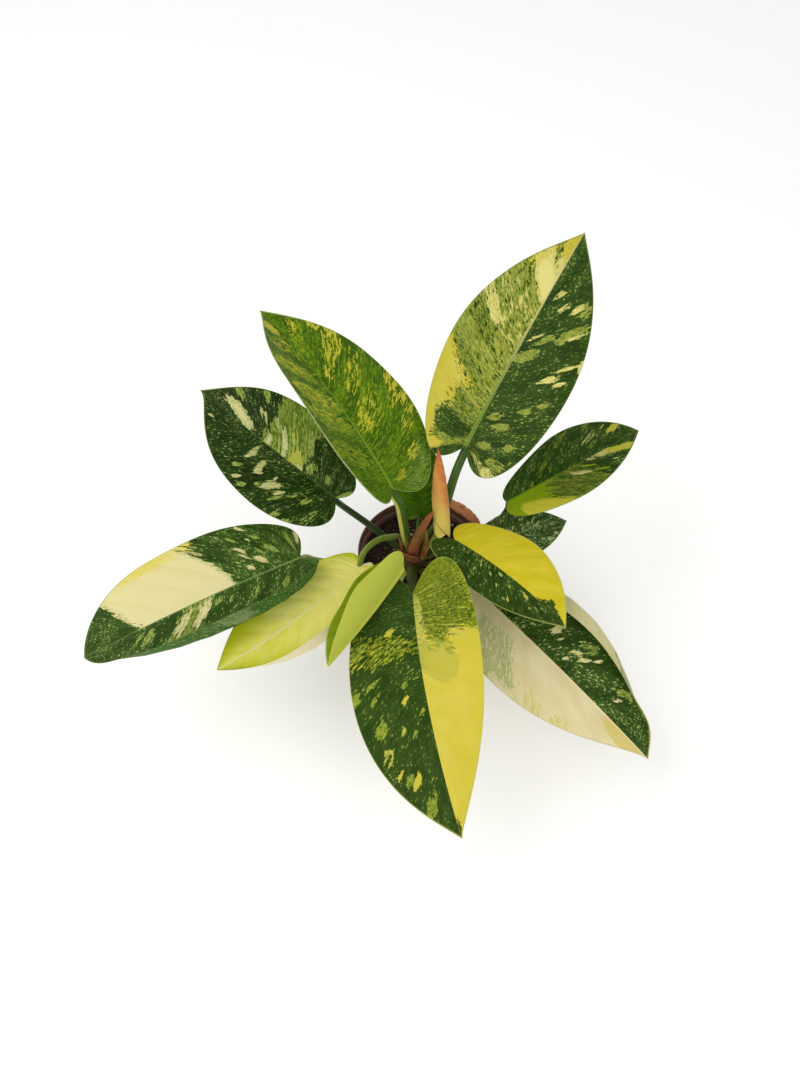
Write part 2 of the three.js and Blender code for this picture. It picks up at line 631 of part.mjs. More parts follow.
// Closes a grid of point pairs, outer then inner, into one solid
function closedSheet(points, rows, columns) {
  const at = (i, k, face) => 2 * (i * (columns + 1) + k) + face;
  const triangles = [];
  const quad = (a, b, c, d) => triangles.push([a, b, c], [a, c, d]);
  for (let i = 0; i < rows; i += 1) {
    for (let k = 0; k < columns; k += 1) {
      quad(at(i, k, 0), at(i, k + 1, 0), at(i + 1, k + 1, 0), at(i + 1, k, 0));
      quad(at(i, k, 1), at(i + 1, k, 1), at(i + 1, k + 1, 1), at(i, k + 1, 1));
    }
    quad(at(i, 0, 0), at(i + 1, 0, 0), at(i + 1, 0, 1), at(i, 0, 1));
    quad(at(i, columns, 0), at(i, columns, 1), at(i + 1, columns, 1), at(i + 1, columns, 0));
  }
  for (let k = 0; k < columns; k += 1) {
    quad(at(0, k, 0), at(0, k, 1), at(0, k + 1, 1), at(0, k + 1, 0));
    quad(at(rows, k, 0), at(rows, k + 1, 0), at(rows, k + 1, 1), at(rows, k, 1));
  }
  return closedGeometry(points, triangles);
}

// The dried sheath: a strip that follows the rim's curve and rests on it, cupped along its length
function driedSheathGeometry() {
  const { start, end, radius, halfWidth, thickness, sag } = DRIED_SHEATH;
  const rows = 12;
  const columns = 4;
  const points = [];
  for (let i = 0; i <= rows; i += 1) {
    const share = i / rows;
    const angle = (start + (end - start) * share) * DEGREE;
    const half = halfWidth * (0.45 + 0.55 * Math.sin(Math.PI * share) ** 0.6);
    for (let k = 0; k <= columns; k += 1) {
      const u = (2 * k) / columns - 1;
      const r = radius + half * u;
      const z = POT_HEIGHT + CLEARANCE + sag * (1 - u * u) + 0.8 * Math.sin(9 * share) * u * u * 0.5 + 0.4;
      points.push(new THREE.Vector3(r * Math.cos(angle), r * Math.sin(angle), z + thickness));
      points.push(new THREE.Vector3(r * Math.cos(angle), r * Math.sin(angle), z));
    }
  }
  return closedSheet(points, rows, columns);
}

// The whole plant

const plant = new THREE.Group();
plant.add(meshNamed('pot', potGeometry(), material('pot', 0.55)));
plant.add(meshNamed('soil', soilGeometry(), material('soil', 0.95)));
plant.add(meshNamed('stem', geometryOf(stemSolid(0)), material('stem', 0.8)));
const stemCut = stemSolid(CLEARANCE);
for (const leaf of LEAVES) plant.add(leafMesh(leaf, stemCut));
plant.add(newLeafMesh(stemCut));
for (const sheath of SHEATHS) {
  const solid = solidOf(sheathGeometry(sheath)).subtract(stemCut);
  plant.add(meshNamed(sheath.name, geometryOf(solid), material('sheath', 0.6)));
}
plant.add(meshNamed('cataphyll_03', collarGeometry(), material('sheath', 0.6)));
plant.add(meshNamed('cataphyll_05', driedSheathGeometry(), material('sheath', 0.8)));

export default plant;
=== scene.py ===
import math
from dataclasses import dataclass
from types import SimpleNamespace

import bmesh
import bpy
import numpy as np
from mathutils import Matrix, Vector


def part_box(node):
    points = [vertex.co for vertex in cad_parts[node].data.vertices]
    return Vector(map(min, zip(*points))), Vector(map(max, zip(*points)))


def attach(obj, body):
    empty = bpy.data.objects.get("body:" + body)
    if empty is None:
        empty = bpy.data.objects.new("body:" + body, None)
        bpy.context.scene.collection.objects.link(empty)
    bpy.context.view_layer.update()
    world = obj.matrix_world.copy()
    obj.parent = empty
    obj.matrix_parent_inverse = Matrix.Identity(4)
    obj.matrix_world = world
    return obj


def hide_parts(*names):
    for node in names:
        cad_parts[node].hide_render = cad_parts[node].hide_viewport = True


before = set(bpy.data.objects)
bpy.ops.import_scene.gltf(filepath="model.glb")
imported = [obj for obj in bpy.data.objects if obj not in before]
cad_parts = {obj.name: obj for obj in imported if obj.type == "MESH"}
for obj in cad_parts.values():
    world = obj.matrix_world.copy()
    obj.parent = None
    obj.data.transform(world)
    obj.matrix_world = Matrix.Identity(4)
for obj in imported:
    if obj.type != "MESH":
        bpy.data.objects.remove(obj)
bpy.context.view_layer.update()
MM = 0.001

# Camera, floor and light

camera_data = bpy.data.cameras.new("camera")
camera_data.lens = 30
camera_data.sensor_width = 36
camera = bpy.data.objects.new("camera", camera_data)
camera.location = (-0.0198, -0.4666, 0.8031)
camera.rotation_euler = (math.radians(35), 0, 0)
bpy.context.collection.objects.link(camera)
bpy.context.scene.camera = camera


def area_light(name, place, aim, size, power, colour=(1, 1, 1)):
    """A soft square light at place, turned to shine on aim."""
    data = bpy.data.lights.new(name, "AREA")
    data.shape = "SQUARE"
    data.size = size
    data.energy = power
    data.color = colour
    lamp = bpy.data.objects.new(name, data)
    lamp.location = place
    away = np.array(place, float) - np.array(aim, float)
    flat = math.hypot(away[0], away[1])
    lamp.rotation_euler = (math.atan2(flat, away[2]), 0, math.atan2(away[1], away[0]) + math.pi / 2)
    bpy.context.collection.objects.link(lamp)


area_light("window_light", (-1.1, 0.0, 1.5), (0, 0, 0.15), 1.3, 10.4, (1, 0.985, 0.95))
area_light("front_light", (0.5, -1.3, 1.3), (0, 0, 0.15), 1.4, 8.2, (1, 0.99, 0.97))
world = bpy.data.worlds.new("studio")
world.use_nodes = True
world.node_tree.nodes["Background"].inputs[0].default_value = (1, 0.99, 0.97, 1)
world.node_tree.nodes["Background"].inputs[1].default_value = 0.68
bpy.context.scene.world = world
bpy.context.scene.view_settings.view_transform = "Standard"


# Materials


def tone(red, green, blue):
    """A colour given as it shows on a screen, from 0 to 255, made even in light by the power 2.2."""
    return tuple((part / 255) ** 2.2 for part in (red, green, blue))


def operator(kind, swapped=False):
    """A way for Wire to add one Math node, with its two values swapped for a reflected form."""

    def apply(self, other):
        return self.finish.math(kind, other, self) if swapped else self.finish.math(kind, self, other)

    return apply


class Wire:
    """A value, vector or colour inside a material. Sums and products of wires add Math nodes."""

    __add__ = __radd__ = operator("ADD")
    __mul__ = __rmul__ = operator("MULTIPLY")
    __sub__, __rsub__ = operator("SUBTRACT"), operator("SUBTRACT", swapped=True)
    __truediv__, __rtruediv__ = operator("DIVIDE"), operator("DIVIDE", swapped=True)
    __mod__, __rmod__ = operator("FLOORED_MODULO"), operator("FLOORED_MODULO", swapped=True)

    def __init__(self, finish, socket):
        self.finish = finish
        self.socket = socket

    def __abs__(self):
        return self.finish.math("ABSOLUTE", self)

    def sine(self):
        return self.finish.math("SINE", self)

    def over(self, low, high):
        """0 below low, 1 above high, with a smooth rise between."""
        smooth = {"interpolation_type": "SMOOTHSTEP"}
        return self.finish.node("MapRange", smooth, {0: self, 1: low, 2: high})

    def parts(self):
        """The three numbers of a vector."""
        split = self.finish.tree.nodes.new("ShaderNodeSeparateXYZ")
        self.finish.feed(split.inputs[0], self)
        return [Wire(self.finish, out) for out in split.outputs]


class Finish:
    """One material. node() adds a node by its type, settings and inputs; the rest are short names."""

    def __init__(self, name):
        self.material = bpy.data.materials.new(name)
        self.material.use_nodes = True
        self.tree = self.material.node_tree
        self.tree.nodes.clear()

    def feed(self, socket, value):
        if isinstance(value, Wire):
            self.tree.links.new(value.socket, socket)
        elif socket.type == "RGBA":
            socket.default_value = (*value, 1) if len(value) == 3 else value
        else:
            socket.default_value = value

    def node(self, kind, settings, inputs, out=0):
        made = self.tree.nodes.new("ShaderNode" + kind)
        for key, value in settings.items():
            setattr(made, key, value)
        for key, value in inputs.items():
            self.feed(made.inputs[key], value)
        return Wire(self, made.outputs[out]) if len(made.outputs) else None

    def math(self, operation, *values):
        return self.node("Math", {"operation": operation}, dict(enumerate(values)))

    def vector(self, x, y, z):
        return self.node("CombineXYZ", {}, {0: x, 1: y, 2: z})

    def attribute(self, name):
        return self.node("Attribute", {"attribute_name": name}, {}, 1).parts()

    def position(self):
        return self.node("TexCoord", {}, {}, 3)

    def noise(self, vector, scale, detail=2.0, roughness=0.5):
        inputs = {"Vector": vector, "Scale": scale, "Detail": detail, "Roughness": roughness}
        return self.node("TexNoise", {}, inputs)

    def mix(self, amount, first, second):
        """first where amount is 0, second where it is 1."""
        return self.node("Mix", {"data_type": "RGBA"}, {0: amount, 6: first, 7: second}, 2)

    def laid(self, colour, *layers):
        """A screen colour with others laid over it in turn, each by its own amount."""
        colour = tone(*colour)
        for amount, layer in layers:
            colour = self.mix(amount, colour, tone(*layer))
        return colour

    def bump(self, height, strength, distance):
        return self.node("Bump", {}, {"Strength": strength, "Distance": distance, "Height": height})

    def close(self, colour, roughness, normal=None, **steady):
        """The closing shader: colour, roughness and normal may vary, the rest are steady numbers."""
        inputs = {"Base Color": colour, "Roughness": roughness}
        if normal is not None:
            inputs["Normal"] = normal
        inputs.update({key.replace("_", " "): value for key, value in steady.items()})
        shader = self.node("BsdfPrincipled", {}, inputs)
        self.node("OutputMaterial", {}, {0: shader})
        return self.material


# Meshes


def put_mesh(name, parts, finish, nodes, fields=None, crease=50):
    """Makes a piece from parts, each a pair of points (n, 3) in millimetres and quads (m, 4).

    fields holds arrays (n, 3) that become attributes. Points that fall together are merged, so that
    rows which shrink to a point close there, and faces that this flattens are dropped.
    """
    points = np.concatenate([np.asarray(p, float) for p, _ in parts])
    starts = np.cumsum([0] + [len(p) for p, _ in parts[:-1]])
    quads = np.concatenate([np.asarray(q) + start for (_, q), start in zip(parts, starts)])
    mesh = bpy.data.meshes.new(name)
    mesh.from_pydata((points * MM).tolist(), [], quads.tolist())
    for key, values in (fields or {}).items():
        layer = mesh.attributes.new(key, "FLOAT_VECTOR", "POINT")
        layer.data.foreach_set("vector", np.asarray(values, np.float32).ravel())
    work = bmesh.new()
    work.from_mesh(mesh)
    bmesh.ops.remove_doubles(work, verts=work.verts, dist=2e-6)
    bmesh.ops.dissolve_degenerate(work, edges=work.edges, dist=1e-7)
    work.to_mesh(mesh)
    work.free()
    mesh.shade_smooth()
    mesh.set_sharp_from_angle(angle=math.radians(crease))
    piece = bpy.data.objects.new(name, mesh)
    bpy.context.collection.objects.link(piece)
    mesh.materials.append(finish)
    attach(piece, "root")
    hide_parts(*nodes)
    return piece


def stacked(*values):
    """Arrays and numbers spread to one shape and put side by side along a last axis."""
    return np.stack(np.broadcast_arrays(*values), -1)


def grid_quads(rows, columns, ring=False):
    """Quads of a grid of points stored row by row; with ring the last column joins the first."""
    span = columns if ring else columns - 1
    i, j = np.meshgrid(np.arange(rows - 1), np.arange(span), indexing="ij")
    here, there = i * columns + j, i * columns + (j + 1) % columns
    return stacked(here, there, there + columns, here + columns).reshape(-1, 4)


def slab(upper, lower):
    """A sheet's two faces (rows, columns, 3) closed round the edges into one solid."""
    rows, columns = upper.shape[:2]
    count = rows * columns
    top = grid_quads(rows, columns)
    index = np.arange(count).reshape(rows, columns)
    rim = np.concatenate([index[0, :-1], index[:-1, -1], index[-1, :0:-1], index[:0:-1, 0]])
    after = np.roll(rim, -1)
    wall = stacked(rim, rim + count, after + count, after)
    points = np.concatenate([upper.reshape(-1, 3), lower.reshape(-1, 3)])
    return points, np.concatenate([top, top[:, ::-1] + count, wall])


def about(radius, angle, height, x=0, y=0):
    """Points round an upright axis at x, y, each at its radius, angle and height."""
    return stacked(x + radius * np.cos(angle), y + radius * np.sin(angle), height)


def whole_turn(sides):
    """Angles spread evenly round a full turn."""
    return np.linspace(0, 2 * np.pi, sides, endpoint=False)


def ring_surface(rings):
    """Rings of points (steps, sides, 3) joined to one skin."""
    return rings.reshape(-1, 3), grid_quads(*rings.shape[:2], ring=True)


def closed_tube(rings):
    """Rings (steps, sides, 3) joined, with each end drawn to its middle."""
    ends = [np.broadcast_to(ring.mean(0), (1, *ring.shape)) for ring in (rings[0], rings[-1])]
    return ring_surface(np.concatenate([ends[0], rings, ends[1]]))


def turned(profile, sides):
    """A profile of (radius, height) pairs turned about the Z axis."""
    radius, height = np.asarray(profile, float).T[..., None]
    return ring_surface(about(radius, whole_turn(sides), height))


def rolling(x, y, size, seed):
    """Smooth random hills from -1 to 1: random heights on a square net of that size, eased between."""
    heights = np.random.default_rng(seed).uniform(-1, 1, (64, 64))
    u, v = np.asarray(x) / size, np.asarray(y) / size
    i, j = np.floor(u).astype(int), np.floor(v).astype(int)
    p, q = u - i, v - j
    p, q = p * p * (3 - 2 * p), q * q * (3 - 2 * q)
    near = heights[i % 64, j % 64] * (1 - p) + heights[(i + 1) % 64, j % 64] * p
    far = heights[i % 64, (j + 1) % 64] * (1 - p) + heights[(i + 1) % 64, (j + 1) % 64] * p
    return near * (1 - q) + far * q


def smooth_curve(points, count):
    """Points spread evenly along a smooth curve through the given ones.

    Each stretch is a cubic whose slopes come from the neighbours' distances, raised to one half.
    """
    points = np.asarray(points, float)
    points = np.concatenate([[2 * points[0] - points[1]], points, [2 * points[-1] - points[-2]]])
    gaps = np.linalg.norm(np.diff(points, axis=0), axis=1) ** 0.5
    t = np.linspace(0, 1, 33)[:-1, None]
    runs = []
    for k in range(1, len(points) - 2):
        a, b, c, d = points[k - 1 : k + 3]
        e, f, g = gaps[k - 1 : k + 2]
        leave = ((b - a) / e - (c - a) / (e + f) + (c - b) / f) * f
        arrive = ((c - b) / f - (d - b) / (f + g) + (d - c) / g) * f
        runs.append(
            (2 * t**3 - 3 * t**2 + 1) * b + (t**3 - 2 * t**2 + t) * leave
            + (3 * t**2 - 2 * t**3) * c + (t**3 - t**2) * arrive
        )
    path = np.concatenate([*runs, points[-2:-1]])
    walked = np.concatenate([[0], np.cumsum(np.linalg.norm(np.diff(path, axis=0), axis=1))])
    even = np.linspace(0, walked[-1], count)
    return stacked(*(np.interp(even, walked, column) for column in path.T)), walked[-1]


def carried_frames(path):
    """Two directions across a path at each of its points, turned as little as possible on the way."""
    tangent = np.gradient(path, axis=0)
    tangent /= np.linalg.norm(tangent, axis=1)[:, None]
    across = np.cross(tangent[0], [0.3, 0.2, 1])
    sides = []
    for direction in tangent:
        across = across - direction * (across @ direction)
        across /= np.linalg.norm(across)
        sides.append(across)
    sides = np.array(sides)
    return sides, np.cross(tangent, sides)


def tube_rings(path, girth, angle):
    """Rings round a path: each point stands its girth off the path, at its angle."""
    across, over = carried_frames(path)
    return (path[:, None] + across[:, None] * (girth * np.cos(angle))[..., None]
            + over[:, None] * (girth * np.sin(angle))[..., None])


# Leaves: the same rules and numbers as the solids, on a finer net


@dataclass
class Half:
    """One side of a blade: wide, low, lobe, taper and sweep draw its outline.

    fold and curl bend its section, in degrees, and rim turns its edge up: over the outer reach of the
    side, and up to rim_end along the blade.
    """

    wide: float
    low: float
    lobe: float
    fold: float = 10
    curl: float = -15
    rim: float = 0
    reach: float = 0.4
    rim_end: float = 1.0
    taper: float = None
    sweep: float = 2.0


@dataclass
class Leaf:
    """A leaf in millimetres and degrees. aim is its midrib's heading, climb and droop.

    swing turns the midrib aside along its length, roll tips the blade, taper points its tip and fill
    rounds its sides. The stalk has a radius and passes through the points listed, from inside the
    stem to the base.
    """

    base: tuple
    length: float
    width: float
    aim: tuple
    left: Half
    right: Half
    radius: float
    through: list
    swing: float = 0
    roll: float = 0
    taper: float = 0.35
    fill: float = 1.0


# A plain side, and the leaves in the order of the solids
PLAIN = Half(1, 0.45, 0.3)
LEAVES = {
    "leaf_01": Leaf(
        (35.5, 20, 235), 208, 116, (58, 30, 4), Half(1, 0.4, 0.3, 14, -14, taper=0.5),
        Half(1.05, 0.3, 0.32, 14, -14), 4,
        [(-2, -11, 112), (-1, -9.5, 127), (11, -4, 148), (20.5, 3, 177), (28.5, 12, 212)],
        swing=-3,
    ),
    "leaf_02": Leaf(
        (-26.5, -17, 225), 200, 108, (121, 20, 8), Half(1, 0.37, 0.26, 25, 20, taper=0.6, sweep=1.45),
        Half(1.15, 0.28, 0.24, 5, -8), 4.2,
        [(-8.5, -11.5, 117), (-12, -8, 128), (-15, -9, 148), (-17.5, -12, 174), (-21, -16, 204)],
        swing=12, roll=8, taper=0.45,
    ),
    "leaf_03": Leaf(
        (-77.5, 10.5, 175), 177, 112, (141, 8, 6), Half(1, 0.2, 0.28, taper=0.9),
        Half(0.92, 0.42, 0.24, 20, -15), 3.2,
        [(-9, -12, 103), (-24.5, 3, 112), (-38.5, 10.5, 121), (-54, 17, 132), (-70, 19, 149)],
        swing=-5, taper=0.5,
    ),
    "leaf_04": Leaf(
        (-107.5, -36.5, 150), 198, 118, (-152, 2, 10),
        Half(0.93, 0.4, 0.25, 0, 5, rim=100, reach=0.38, rim_end=1.05), Half(1.06, 0.3, 0.2), 3.6,
        [(-8, -18, 103), (-8.5, -33, 100.5), (-15, -37, 101), (-27, -31, 105), (-52, -25, 116),
         (-80, -26, 124), (-98, -29, 135), (-104, -32, 143)],
        taper=0, fill=0.85,
    ),
    "leaf_05": Leaf(
        (-56.5, -39, 140), 152, 93, (-132, -4, 6),
        Half(1.1, 0.45, 0.24, 5, 0, rim=105, reach=0.36, rim_end=1.2), Half(0.86, 0.45, 0.22), 2.8,
        [(-9, -10, 110), (-12.5, -3.5, 116), (-17, -0.5, 124), (-21, -1, 131), (-29, -8, 141),
         (-38, -16, 149), (-46, -24, 151.5), (-52, -31, 149)],
        swing=-20,
    ),
    "leaf_06": Leaf(
        (-18, -62, 170), 106, 54, (-118, 2, 10), Half(1.04, 0.25, 0.28, 62, 55),
        Half(1.1, 0.32, 0.28, 15, 30), 2.8,
        [(-11, -15, 108), (-17, -22, 109.5), (-21, -34, 113), (-21, -47, 124), (-19.5, -56, 145)],
        swing=-12, roll=35, taper=0, fill=0.85,
    ),
    "leaf_07": Leaf(
        (-9, -80.5, 161.5), 202, 120, (-87, -5, 30), Half(0.87, 0.24, 0.41, 25, -15), Half(1, 0.4, 0.3),
        4.8,
        [(-6, -18, 112), (-8.8, -26, 117), (-9.2, -49, 135), (-9, -69, 151)],
        swing=18, taper=0.45,
    ),
    "leaf_08": Leaf(
        (28, -27, 164), 123, 83, (-38, 5, 35), Half(0.97, 0.45, 0.24), Half(0.8, 0.42, 0.38), 3,
        [(-1, -14.5, 115), (9, -14.5, 123), (20, -20.5, 144)],
    ),
    "leaf_09": Leaf(
        (40, -41, 120), 220, 118, (-44, -8, 12),
        Half(1.23, 0.57, 0.27, 15, 0, rim=145, reach=0.36, rim_end=1, taper=0.3),
        Half(0.96, 0.28, 0.3, taper=0.75), 3.6,
        [(-1, -19, 103), (5, -25, 104.5), (13, -30, 107), (27, -37, 112)],
        taper=0.45,
    ),
    "leaf_10": Leaf(
        (76.5, 10, 170), 140, 80, (25.5, 13, 8), Half(0.96, 0.5, 0.12), Half(0.8, 0.2, 0.2, taper=0.45), 3,
        [(-1, -10, 104), (12, -6.5, 107), (28, -4, 111), (52, 2, 120), (71, 12, 137), (78, 13.5, 155)],
        swing=5,
    ),
    "leaf_11": Leaf(
        (54, -26, 153.5), 82, 50, (20, 5, 12), PLAIN, PLAIN, 2.6,
        [(-1, -15, 106), (4.5, -16, 107.5), (15, -18.5, 113.5), (29, -23, 129), (42, -26.5, 145)],
    ),
    "leaf_12": Leaf(
        (-0.5, 13.5, 150), 84, 54, (94, 66, -6), PLAIN, Half(0.65, 0.45, 0.3), 3,
        [(-4, -9, 108), (-3.5, -3, 115), (-2.5, 4, 128)],
    ),
}

# What all blades share, in millimetres; the row angles fan out from the junction up to FAN_END
BLADE_HALF = 0.42
MARGIN_HALF = 0.36
KEEL_DEPTH = 2.2
KEEL_WIDTH = 3.4
CROWN_HEIGHT = 0.45
CROWN_WIDTH = 1.9
RIPPLE = 1.5
VEIN_SWELL = 0.16
VEIN_GROOVE = 0.14
SIDE_VEINS = 13
FAN_END = 0.9


def outline(leaf, half, theta):
    """Half outline at the row angle theta, from 0 at the junction round the lobe to pi at the tip.

    along is the length times (1 - cos theta) / 2, less the lobe's share of sin theta. out is half the
    width times the sine of theta less low times its own sine, and narrows near the tip. vein is where
    the row leaves the midrib: the power sweep of its share past the fan of the lobe.
    """
    length = leaf.length
    along = length * ((1 - np.cos(theta)) / 2 - half.lobe * np.sin(theta))
    taper = leaf.taper if half.taper is None else half.taper
    pointed = 1 - taper * np.exp(-(length - along) / (0.15 * length))
    bow = np.maximum(0, np.sin(theta - half.low * np.sin(theta))) ** leaf.fill
    out = leaf.width / 2 * half.wide * bow * pointed
    vein = length * np.clip((theta - FAN_END) / (np.pi - FAN_END), 0, 1) ** half.sweep
    return along, out, vein


def midrib(leaf):
    """The midrib's points and its leftward and upward directions, at shares s of its length.

    Its heading and climb change evenly along it, and its points are the running sum of its direction.
    """
    s = np.linspace(-0.25, 1, 81)
    heading, pitch, droop = leaf.aim
    azimuth = np.radians(heading + leaf.swing * s)
    climb = np.radians(pitch - droop * s)
    forward = about(np.cos(climb), azimuth, np.sin(climb))
    stride = (s[1] - s[0]) * leaf.length
    run = np.concatenate([np.zeros((1, 3)), np.cumsum((forward[1:] + forward[:-1]) * stride / 2, 0)])
    flat = stacked(-np.sin(azimuth), np.cos(azimuth), 0)
    upright = np.cross(forward, flat)
    roll = math.radians(leaf.roll)
    leftward = flat * math.cos(roll) + upright * math.sin(roll)
    upward = upright * math.cos(roll) - flat * math.sin(roll)

    def at(share, values):
        return stacked(*(np.interp(share, s, column) for column in values.T))

    run = run - at(0.0, run) + np.array(leaf.base, float)
    return lambda share: (at(share, run), at(share, leftward), at(share, upward))


def section(leaf, half, out, edge, s):
    """How far across and up a point is that lies out along the section, and the slope there.

    The slope is the fold, plus an even curl, plus the rim's bend near an edge that stands up; across
    and up are the sums of its cosine and sine in 32 steps.
    """
    def slope_at(y):
        slope = half.fold + half.curl * y / (leaf.width / 2)
        if half.rim:
            fade = 1 - np.clip((s - half.rim_end + 0.25) / 0.25, 0, 1) ** 2
            share = y / np.maximum(edge, 1e-9)
            bent = np.clip(2 * (share - 1 + half.reach) / half.reach, 0, 1)
            slope = slope + half.rim * fade * bent * bent * (3 - 2 * bent)
        return np.radians(slope)

    steps = 32
    across = up = 0
    for i in range(steps):
        slope = slope_at(out * (i + 0.5) / steps)
        across = across + np.cos(slope) * out / steps
        up = up + np.sin(slope) * out / steps
    return across, up, slope_at(out)


def strokes_field(strokes, kind, side, theta, v):
    """The strongest of a leaf's strokes of one kind: each is an oval or a block in the net of veins.

    A stroke is (row angle, signed share, tall, wide, height, lean) in hundredths. Its value is 1 at
    its middle and 0 at its edge, times a firmness that grows with its size, and stops at its height.
    Its row leans with the share. A capital kind is a block, measured by its larger side instead of
    by its distance, and a block of cream is twice as firm.
    """
    field = np.full(np.broadcast(theta, v).shape, -2.0)
    for what in (kind, kind.upper()):
        for stroke in strokes.get(what, ()):
            whole = (*stroke, *USUAL_HEIGHT_AND_LEAN[len(stroke) - 4 :])
            row, share, tall, wide, height, lean = (number / 100 for number in whole)
            if side * share < 0:
                continue
            offset = v - abs(share)
            a = np.abs(theta - row - lean * offset) / tall
            b = np.abs(offset) / wide
            away = np.maximum(a, b) if what.isupper() else np.hypot(a, b)
            firm = max(1, min(tall / 0.07, wide / 0.18)) * (2 if what == "C" else 1)
            field = np.maximum(field, np.minimum((1 - away) * firm, height))
    return field


def blade_parts(leaf, strokes):
    """A blade as two halves, each a slab on the net of veins, with the fields its finish reads.

    The net's points lie their share v out from the midrib to the outline, on rows that start along
    the midrib. The blade ripples, its side veins are grooves between low swells, the midrib stands up
    as a crown on top and as a keel below, and the margin thins. The field place is (along, signed
    out, 1 on the upper face), veins is (row angle, signed share, half width), paint is the strokes
    of cream, yellow and green, and tint those of lime, mottle and veil.
    """
    theta = np.linspace(0, np.pi, SIDE_VEINS * 14 + 1)[:, None]
    v = np.concatenate([[0, 0.012, 0.024, 0.04, 0.06], np.linspace(0.09, 0.965, 27), [0.988, 1]])[None]
    places = midrib(leaf)
    parts, fields = [], {"place": [], "veins": [], "paint": [], "tint": []}
    for side, half in ((1, leaf.left), (-1, leaf.right)):
        along, edge, vein = outline(leaf, half, theta)
        x = vein + (along - vein) * v**1.3
        y = edge * v
        s = x / leaf.length
        middle, leftward, upward = places(s)
        across, up, slope = section(leaf, half, y, edge, s)
        q = y / (leaf.width / 2)
        up = up + RIPPLE * q * q * np.sin(2 * np.pi * (1.6 * s + 0.2 + 0.3 * side))
        facing = upward * np.cos(slope)[..., None] - side * leftward * np.sin(slope)[..., None]
        facing = np.where((y < 1e-6)[..., None], upward, facing)
        surface = middle + side * leftward * across[..., None] + upward * up[..., None]
        rows = theta * SIDE_VEINS / np.pi
        near_vein = np.exp(-(((rows + 0.5) % 1 - 0.5) / 0.1) ** 2)
        inner = np.clip(y / 6, 0, 1) * np.clip((edge - y) / 8, 0, 1)
        relief = -(VEIN_SWELL * np.cos(2 * np.pi * rows) + VEIN_GROOVE * near_vein) * inner
        onward = np.clip(s, 0, 1)
        behind = np.clip((x + 5) / 5, 0, 1)
        crown = CROWN_HEIGHT * np.exp(-((y / (CROWN_WIDTH * (1 - 0.75 * onward))) ** 2)) * behind
        keel = KEEL_DEPTH * (1 - 0.85 * onward) * behind
        keel = keel * np.sqrt(np.clip(1 - (y / (KEEL_WIDTH * (1 - 0.7 * onward))) ** 2, 0, 1))
        thin = MARGIN_HALF * (1 - 0.45 * v**10)
        upper = surface + facing * (relief + crown + thin)[..., None]
        lower = surface + facing * (relief - keel - thin)[..., None]
        points, quads = slab(upper[:, ::side], lower[:, ::side])
        parts.append((points, quads[:, ::-1]))
        marks = [strokes_field(strokes, kind, side, theta, v) for kind in "cyglmo"]
        for face in (1.0, 0.0):
            read = {"place": (x, side * y, face), "veins": (theta, side * v, edge)}
            for key, three in {**read, "paint": marks[:3], "tint": marks[3:]}.items():
                fields[key].append(stacked(*three)[:, ::side].reshape(-1, 3))
    return parts, {key: np.concatenate(value) for key, value in fields.items()}


def stalk_parts(leaf):
    """A stalk: a ribbed tube on a smooth curve from the stem to under the blade.

    Its radius falls evenly from the stem to the blade, and shrinks along the keel.
    """
    places = midrib(leaf)
    joint, _, upward = places(0.01)
    ending = joint - upward * (BLADE_HALF + 0.8 * leaf.radius)
    joint, _, upward = places(0.08)
    beyond = joint - upward * (BLADE_HALF + 0.5 * KEEL_DEPTH)
    path, reach = smooth_curve([*leaf.through, ending, beyond], 120)
    share = np.linspace(0, 1, 120)
    merge = 1 - np.linalg.norm(ending - beyond) / reach
    end = np.where(share > merge, 1 - 0.7 * (share - merge) / (1 - merge), 1)
    angle = whole_turn(28)
    girth = (leaf.radius * end * (1.06 - 0.16 * share))[:, None] * (1 + 0.012 * np.cos(9 * angle))
    run = np.concatenate([[0], share, [1]])[:, None]
    field = stacked(run, np.cos(angle), np.sin(angle)).reshape(-1, 3)
    return [closed_tube(tube_rings(path, girth, angle))], {"run": field}


